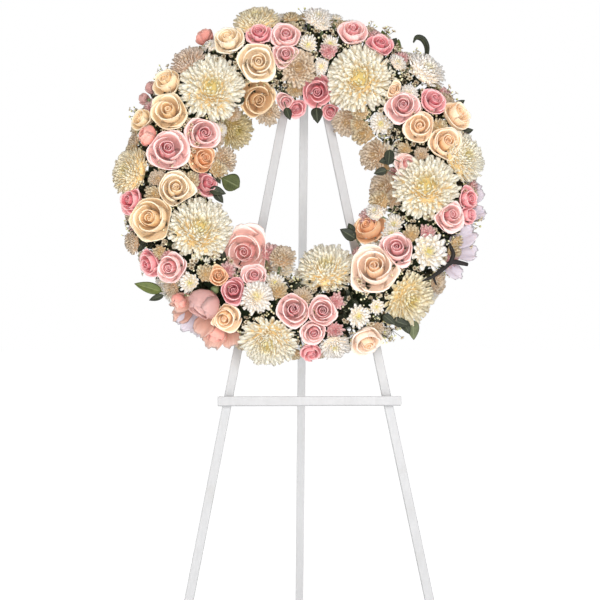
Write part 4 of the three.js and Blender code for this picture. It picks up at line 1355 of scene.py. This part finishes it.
class WREATH_OT_filler(bpy.types.Operator):
    """Build the sprigs of tiny filler flowers and buds between the blooms"""

    bl_idname = "wreath.filler"
    bl_label = "Filler"

    def execute(self, context):
        settings = context.scene.wreath_greenery
        rng = np.random.default_rng(settings.seed)
        spots = gap_spots(rng)
        spots += [on_ring(ring, tube_angle, reach * MM) for ring, tube_angle, reach in EDGE_SPRIGS]
        petal = floret_finish("waxflower_petals", tone(244, 234, 212), tone(222, 204, 170),
                              tone(210, 170, 110), tone(150, 110, 70))
        bud = floret_finish("waxflower_buds", tone(246, 236, 206), tone(206, 204, 150),
                            tone(170, 170, 110), tone(112, 116, 60))
        twig = moulded("sprig_stems", tone(96, 84, 48), tone(56, 50, 30), 0.7, 300.0, 0.1 * MM)
        mesh = Mesh()
        florets, buds = [], []
        for point, axis in spots:
            fork = point - axis * 16 * MM
            mesh.add(*tube(np.linspace(fork - axis * 20 * MM, fork, 3), 0.8 * MM, 5), 2)
            for _ in range(8):
                direction = leaning(rng, axis, 0.55)
                end = fork + direction * rng.uniform(11, 21) * MM
                end += basis(axis)[:, :2] @ rng.normal(0, settings.spray * 0.35, 2)
                mesh.add(*tube(np.linspace(fork, end, 2), 0.45 * MM, 3), 2)
                turned_to = basis(leaning(rng, axis, 0.35), rng.uniform(0, 6))
                kind = florets if rng.uniform() < 0.4 else buds
                kind.append((end, turned_to, rng.uniform(0.8, 1.25), rng.uniform()))
        templates = ((florets, floret_template(4.2 * MM)), (buds, bud_template(1.9 * MM)))
        for finish, (kind, template) in enumerate(templates):
            places, frames, scales, chances = (np.array(column) for column in zip(*kind))
            scatter(mesh, template, frames, places, scales, chances, finish, np.full(len(kind), 0.6))
        dress(mesh.build("filler_sprigs", [petal, bud, twig]), "white_petals")
        return {"FINISHED"}


# Leaves that show: place in mm from the ring's centre (across, up, out of the front), length,
# width, the way they point in the ring's plane in degrees, how far they lift out of it, and kind.
LEAVES = (
    (-130, -2, 34, 34, 32, -30, 10, "round"),
    (-144, 12, 28, 26, 14, -62, 10, "dark"),
    (-150, -20, 30, 28, 16, -16, 10, "dark"),
    (-142, -24, 30, 24, 14, -52, 0, "dark"),
    (-266, -90, 20, 31, 16, 230, 10, "dark"),
    (-252, -104, 28, 24, 13, 238, 0, "dark"),
    (-226, -188, 16, 46, 19, 164, 10, "bright"),
    (-222, -196, 26, 26, 11, 196, -10, "dark"),
    (88, -104, 32, 30, 20, 150, 20, "dark"),
    (84, -96, 36, 20, 13, 112, 0, "dark"),
    (26, 122, 26, 28, 20, -86, 10, "dark"),
    (34, 118, 24, 20, 13, -128, 0, "round"),
    (-24, 122, 26, 24, 14, -74, 10, "dark"),
    (-92, 128, 52, 26, 15, 200, 10, "dark"),
    (142, 34, 74, 28, 17, -96, 10, "dark"),
    (150, 18, 74, 26, 16, 188, 0, "dark"),
    (138, 2, 66, 22, 14, -168, 0, "dark"),
    (142, 238, 12, 26, 14, 96, 10, "bright"),
    (150, 230, 22, 22, 13, 54, 0, "dark"),
    (162, 226, 14, 24, 12, 78, 0, "bright"),
    (128, -232, 46, 26, 15, -40, 10, "dark"),
    (144, -240, 40, 28, 17, -18, 0, "dark"),
    (160, -238, 34, 26, 16, -62, 0, "dark"),
    (178, -236, 22, 32, 20, -86, 0, "grey"),
    (-148, 222, 36, 22, 14, -40, 20, "dark"),
    (-156, 214, 36, 20, 13, -120, 20, "dark"),
    (-138, 200, 52, 22, 13, 40, 10, "dark"),
    (-262, -66, 22, 26, 15, 206, 10, "dark"),
    (-252, -94, 26, 26, 14, 176, 10, "grey"),
    (-246, 100, 20, 22, 13, 150, 10, "dark"),
    (-276, 44, 10, 20, 12, 170, 10, "dark"),
    (-226, 150, 22, 22, 12, 140, 10, "dark"),
    (256, 126, 18, 22, 12, 34, 10, "dark"),
    (268, 82, 16, 20, 12, 16, 10, "dark"),
    (-40, -256, 14, 22, 12, -95, 10, "dark"),
    (44, -262, 20, 24, 14, -100, 10, "dark"),
    (2, -250, 40, 24, 14, -70, 10, "dark"),
    (248, -88, 40, 24, 13, 160, 20, "dark"),
    (262, -82, 34, 22, 12, 60, 20, "dark"),
)

# Points in mm from the ring's centre that the bare twig and the curled leaf follow.
TWIG = (
    ((186, -178, 50), (204, -174, 52), (222, -162, 50), (240, -146, 46), (254, -146, 42), (268, -148, 38)),
    ((240, -146, 46), (244, -132, 47), (238, -116, 46)),
    ((222, -162, 50), (212, -170, 46), (216, -182, 40)),
)
TWIG_RADII = ((2.0, 2.6, 3.4, 4.2, 4.0, 3.0), (4.0, 3.4, 3.0), (2.6, 2.2, 1.4))
CURLED_LEAF = (
    (204, 196, 12), (210, 214, 14), (212, 232, 16), (206, 244, 20), (196, 246, 24), (190, 236, 27),
)
CURLED_WIDTH = (8, 12, 14, 14, 11, 4)

# Papery petals at the edges: place, length, width, direction, lift and shade (0 pale, 1 dusky).
PAPERY = (
    (-172, -203, 34, 40, 34, 200, 14, 1), (-176, -216, 28, 36, 32, 216, 4, 1),
    (-166, -220, 24, 42, 38, 228, 10, 0), (-158, -226, 16, 36, 34, 250, 0, 0),
    (-146, -230, 34, 40, 36, 240, 16, 1), (-132, -240, 28, 46, 38, 250, 8, 1),
    (-120, -246, 20, 34, 38, 282, 0, 1), (241, -114, 32, 48, 40, 30, 10, 0),
    (246, -124, 26, 40, 36, 2, 4, 0), (230, -146, 28, 36, 26, -32, 0, 0),
    (268, -62, 20, 36, 28, 12, 4, 0), (264, -28, 18, 38, 40, 18, 4, 0),
)
# Sprigs of filler that hang out past the blooms: ring angle, tube angle and reach in mm.
EDGE_SPRIGS = (
    (300, 78, 86), (297, 86, 84), (305, 70, 82), (30, 70, 80), (22, 74, 80), (8, 76, 80), (345, 72, 82),
    (338, 70, 82), (210, 72, 80), (196, 74, 80), (60, 72, 84), (66, 74, 80), (48, 70, 80), (145, 72, 78),
    (141, 78, 84), (157, 80, 84), (200, 80, 84), (88, 76, 82),
)


def in_ring(across, up, front):
    """A point given in mm from the ring's centre."""
    return RING_CENTRE + (ACROSS * across + UP * up + FRONT * front) * MM


def lying(direction, lift):
    """Frame of a leaf that points along an angle in the ring's plane, lifted out of it, face outwards."""
    turn, rise = math.radians(direction), math.radians(lift)
    flat = ACROSS * math.cos(turn) + UP * math.sin(turn)
    along = flat * math.cos(rise) + FRONT * math.sin(rise)
    face = FRONT * math.cos(rise) - flat * math.sin(rise)
    return np.stack([np.cross(face, along), face, along], axis=1)


def leaf_stalk(place):
    """Thin stalk from a leaf's foot into the middle of the arrangement."""
    offset = place - RING_CENTRE
    root = ring_frame(math.degrees(math.atan2(offset @ UP, offset @ ACROSS)), 0)[0]
    foot = root + (place - root) * 0.3
    sag = (foot + place) / 2 - FRONT * 22 * MM
    return tube(arc(foot, sag, place, 7), np.linspace(1.3, 0.7, 7) * MM, 6)


def flowing(path, values, count=18):
    """A smooth curve through points in mm from the ring's centre, with values along it."""
    path = np.array([in_ring(*point) for point in path])
    before, after = 2 * path[0] - path[1], 2 * path[-1] - path[-2]
    knots = np.concatenate([[before], path, [after]])
    t = np.linspace(0, len(path) - 1.0001, count)
    k, f = t.astype(int), (t % 1)[:, None]
    a, b, c, d = (knots[k + step] for step in range(4))
    curve = 0.5 * (2 * b + (c - a) * f + (2 * a - 5 * b + 4 * c - d) * f**2 + (3 * b - a - 3 * c + d) * f**3)
    return curve, np.interp(t, np.arange(len(path)), values)


def ruffled_petal(length, width, rng):
    """Broad thin petal from its foot at the origin along +z, with a waved and notched rim."""
    v = np.linspace(0, 1, 10)[:, None]
    u = np.linspace(-1, 1, 15)[None, :]
    phase = rng.uniform(0, 2 * math.pi, 4)
    half = width / 2 * np.interp(v, [0, 0.3, 0.7, 1.0], [0.25, 0.75, 1.0, 0.85])
    notch = 0.05 * np.sin(6 * u + phase[0]) + 0.03 * np.sin(15 * u + phase[1])
    ripple = v**2 * (0.09 * np.sin(5 * u + phase[2]) + 0.05 * np.sin(11 * u + 3 * v + phase[3]))
    z = length * v * (1 - 0.2 * np.abs(u) ** 2.5 + notch * v)
    y = length * (ripple - 0.12 * v**2 + 0.08 * u**2)
    surface = np.stack([u * half, y, z], axis=2)[None]
    return sheets(surface, LEAF_THICKNESS, 1.0, rng.uniform())


def curled_leaf(path, widths):
    """Narrow leaf blade along a path in the ring's plane, closed and gently channelled."""
    path, widths = flowing(path, widths)
    direction = unit_rows(np.gradient(path, axis=0))
    side = np.cross(direction, FRONT) * 0.55 + FRONT * 0.8
    u = np.linspace(-1, 1, 5)
    half = widths[:, None, None] / 2 * MM
    surface = path[:, None] + side[:, None] * u[None, :, None] * half
    surface = surface + np.cross(direction, side)[:, None] * (np.abs(u) * 0.35)[None, :, None] * half
    return sheets(surface[None], 1.4 * MM, 0.0, 0.5)


def strew(mesh, template, spots, rng, low, high):
    """Copies of a leaf at places with their frames, sized between low and high."""
    places, frames = (np.array(column) for column in zip(*spots))
    scales = rng.uniform(low, high, len(spots))
    scatter(mesh, template, frames, places, scales, rng.uniform(0, 1, len(spots)), 0)


def add_leaf(mesh, template, place, direction, rng, finish, layers=None):
    """One leaf or petal that shows, on its own stalk; place and direction as in the tables."""
    place, turned_to = in_ring(*place), lying(*direction)
    scatter(mesh, template, turned_to[None], place[None], np.ones(1), rng.uniform(0, 1, 1), finish, layers)
    mesh.add(*leaf_stalk(place), finish)


class WREATH_OT_foliage(bpy.types.Operator):
    """Build the leaves that back the flowers and show at the edges"""

    bl_idname = "wreath.foliage"
    bl_label = "Foliage"

    def execute(self, context):
        settings = context.scene.wreath_greenery
        rng = np.random.default_rng(settings.seed + 1)
        shade = tone(24, 30, 16)
        dark = leaf_finish("dark_leaves", tuple(settings.dark_leaf), shade, 0.55)
        bright = leaf_finish("bright_leaves", tuple(settings.bright_leaf), tone(78, 92, 36), 0.55)
        grey = leaf_finish("grey_leaves", tuple(settings.grey_leaf), tone(80, 88, 60), 0.6)
        mossy = leaf_finish("round_leaves", tone(92, 100, 48), tone(60, 68, 30), 0.6)
        self.backing(rng, dark)
        self.showing(rng, {"dark": dark, "bright": bright, "grey": grey, "round": mossy})
        self.twig_and_curl(dark)
        self.papery(rng)
        return {"FINISHED"}

    @staticmethod
    def backing(rng, dark):
        """Dark leaves all over the tube, and smaller ones in the gaps left dark."""
        mesh = Mesh()
        spots = []
        for ring in np.arange(0, 360, 7):
            for tube_angle in np.arange(-112, 116, 16):
                point, axis = on_ring(ring + rng.uniform(-3, 3), tube_angle + rng.uniform(-6, 6), 31 * MM)
                spots.append((point, basis(leaning(rng, axis, 0.45), rng.uniform(0, 6))))
        strew(mesh, leaf_template(34 * MM, 17 * MM, 0.35, 0.25, 2), spots, rng, 0.8, 1.15)
        spots = []
        for ring, tube_angle, radius in LEAFY_GAPS:
            point, axis = on_ring(*settled(ring, tube_angle, ROSE_REACH), 50 * MM)
            for _ in range(6):
                place = point + basis(axis)[:, :2] @ rng.normal(0, 0.35 * radius * MM, 2)
                spots.append((place, basis(leaning(rng, axis, 0.55), rng.uniform(0, 6))))
        strew(mesh, leaf_template(24 * MM, 11 * MM, 0.3, 0.3, 4), spots, rng, 0.7, 1.1)
        dress(mesh.build("backing_leaves", [dark]), "green_tray")

    @staticmethod
    def showing(rng, finishes):
        """The leaves that show, each from its row of the table."""
        mesh = Mesh()
        kinds = list(finishes)
        for *place, length, width, direction, lift, kind in LEAVES:
            fold, bend = rng.uniform(0.1, 0.35), rng.uniform(0.05, 0.2)
            template = leaf_template(length * MM, width * MM, fold, bend, 8, 0.55 if kind == "round" else 0.0)
            add_leaf(mesh, template, place, (direction, lift), rng, kinds.index(kind))
        dress(mesh.build("edge_leaves", list(finishes.values())), "green_tray")

    @staticmethod
    def twig_and_curl(dark):
        """The bare twig at the lower right and the curled leaf at the upper right."""
        bark = moulded("dark_bark", tone(38, 32, 28), tone(16, 13, 12), 0.75, 260.0, 0.4 * MM)
        mesh = Mesh()
        for path, radii in zip(TWIG, TWIG_RADII):
            points, radii = flowing(path, radii, 12)
            mesh.add(*tube(points, radii * MM, 9), 0)
        dress(mesh.build("bare_twig", [bark]), "green_tray")
        leaf = Mesh()
        leaf.add(*curled_leaf(CURLED_LEAF, CURLED_WIDTH), 0)
        dress(leaf.build("curled_leaf", [dark]), "green_tray")

    @staticmethod
    def papery(rng):
        """The papery petals at the edges."""
        finishes = [
            petal_finish("papery_petals", tone(200, 190, 198), tone(184, 174, 184), tone(168, 154, 166),
                         tone(148, 132, 142)),
            petal_finish("dusky_petals", tone(204, 166, 154), tone(182, 134, 118), tone(166, 112, 98),
                         tone(140, 96, 80)),
        ]
        mesh = Mesh()
        for *place, length, width, direction, lift, shade in PAPERY:
            template = ruffled_petal(length * MM, width * MM, rng)
            add_leaf(mesh, template, place, (direction, lift), rng, shade, np.ones(1))
        dress(mesh.build("papery_petals", finishes), "white_petals")


# ---- stage ----------------------------------------------------------------------------------

FLOOR_REACH = 14.0
FLOOR_DEPTH = 0.02
EASEL_MIDDLE = (0, 0, 0.55)
SENSOR_WIDTH = 36


def area_light(name, place, aim, size, power):
    """A soft square light aimed at a point."""
    data = bpy.data.lights.new(name, "AREA")
    data.size = size
    data.energy = power
    light = linked(name, data)
    direction = np.asarray(aim, float) - np.asarray(place, float)
    light.location = place
    light.rotation_euler = (
        math.atan2(math.hypot(direction[0], direction[1]), -direction[2]), 0,
        math.atan2(direction[1], direction[0]) - math.pi / 2,
    )


def paper_floor():
    """White studio paper: lit evenly beyond the easel, so that it meets the white of the room."""
    made = Finish("paper_floor")
    place = made.node("ShaderNodeTexCoord", output="Object")
    away = made.node("ShaderNodeVectorMath", {"operation": "LENGTH"}, {0: place}, "Value")
    glow = made.node("ShaderNodeMapRange", {"interpolation_type": "SMOOTHSTEP"}, {
        "Value": away, "From Min": 0.45, "From Max": 1.15, "To Min": 0.06, "To Max": 0.66,
    })
    made.feed(made.shader.inputs["Emission Color"], made.mix(glow, (0, 0, 0), (1, 1, 1)))
    made.shader.inputs["Emission Strength"].default_value = 1.0
    fibre = made.noise(60.0, 3.0)
    return made.finish(made.mix(fibre, (0.86, 0.86, 0.86), (0.9, 0.9, 0.9)), 0.85)


class WREATH_OT_stage(bpy.types.Operator):
    """Set the pale floor, the soft studio light and the camera"""

    bl_idname = "wreath.stage"
    bl_label = "Stage"

    def execute(self, context):
        scene = context.scene
        settings = scene.wreath_stage
        world = bpy.data.worlds.new("studio")
        world.use_nodes = True
        nodes, links = world.node_tree.nodes, world.node_tree.links
        room = nodes["Background"]
        room.inputs["Color"].default_value = (1, 1, 1, 1)
        room.inputs["Strength"].default_value = settings.room
        paper = nodes.new("ShaderNodeBackground")
        paper.inputs["Color"].default_value = (1, 1, 1, 1)
        seen = nodes.new("ShaderNodeLightPath")
        either = nodes.new("ShaderNodeMixShader")
        links.new(seen.outputs["Is Camera Ray"], either.inputs[0])
        links.new(room.outputs[0], either.inputs[1])
        links.new(paper.outputs[0], either.inputs[2])
        links.new(either.outputs[0], nodes["World Output"].inputs["Surface"])
        scene.world = world
        scene.view_settings.view_transform = "Standard"

        floor = Mesh()
        reach = FLOOR_REACH
        corners = np.array([(-reach, -reach, 0), (reach, -reach, 0), (reach, reach, 0), (-reach, reach, 0)])
        floor.add(np.concatenate([corners, corners - (0, 0, FLOOR_DEPTH)]), [np.array([
            (0, 1, 2, 3), (7, 6, 5, 4), (0, 4, 5, 1), (1, 5, 6, 2), (2, 6, 7, 3), (3, 7, 4, 0),
        ])])
        plane = floor.build("floor", [paper_floor()], smooth=False)

        area_light("key", (0.5, -2.7, 1.8), tuple(RING_CENTRE), 1.2, settings.key)
        area_light("front_fill", (-0.5, -2.8, 0.2), EASEL_MIDDLE, 1.6, settings.key)

        camera_data = bpy.data.cameras.new("camera")
        camera_data.lens = settings.lens
        camera_data.sensor_width = SENSOR_WIDTH
        camera = linked("camera", camera_data)
        camera.location = settings.camera_place
        camera.rotation_euler = (math.pi / 2 - settings.pitch, 0, -settings.yaw)
        scene.camera = camera
        return {"FINISHED"}


# ---- add-on ---------------------------------------------------------------------------------

SETTINGS = {
    "wreath_easel": EaselSettings,
    "wreath_roses": RoseSettings,
    "wreath_mums": MumSettings,
    "wreath_greenery": GreenerySettings,
    "wreath_stage": StageSettings,
}
STEPS = (
    WREATH_OT_stage, WREATH_OT_easel, WREATH_OT_hardware, WREATH_OT_base,
    WREATH_OT_roses, WREATH_OT_mums, WREATH_OT_filler, WREATH_OT_foliage,
)


class WREATH_PT_sidebar(bpy.types.Panel):
    """The wreath's pieces and their settings"""

    bl_idname = "WREATH_PT_sidebar"
    bl_label = "Funeral wreath"
    bl_space_type = "VIEW_3D"
    bl_region_type = "UI"
    bl_category = "Wreath"

    def draw(self, context):
        for step in STEPS:
            self.layout.operator(step.bl_idname)
        for name, group in SETTINGS.items():
            box = self.layout.box()
            box.label(text=group.__doc__)
            for setting in group.__annotations__:
                box.prop(getattr(context.scene, name), setting)


def register():
    for group in SETTINGS.values():
        bpy.utils.register_class(group)
    for step in STEPS:
        bpy.utils.register_class(step)
    bpy.utils.register_class(WREATH_PT_sidebar)
    for name, group in SETTINGS.items():
        setattr(bpy.types.Scene, name, bpy.props.PointerProperty(type=group))


def unregister():
    for name in SETTINGS:
        delattr(bpy.types.Scene, name)
    bpy.utils.unregister_class(WREATH_PT_sidebar)
    for item in (*reversed(STEPS), *reversed(SETTINGS.values())):
        bpy.utils.unregister_class(item)


def main():
    register()
    for step in STEPS:
        family, _, action = step.bl_idname.partition(".")
        getattr(getattr(bpy.ops, family), action)()


if __name__ == "__main__":
    main()
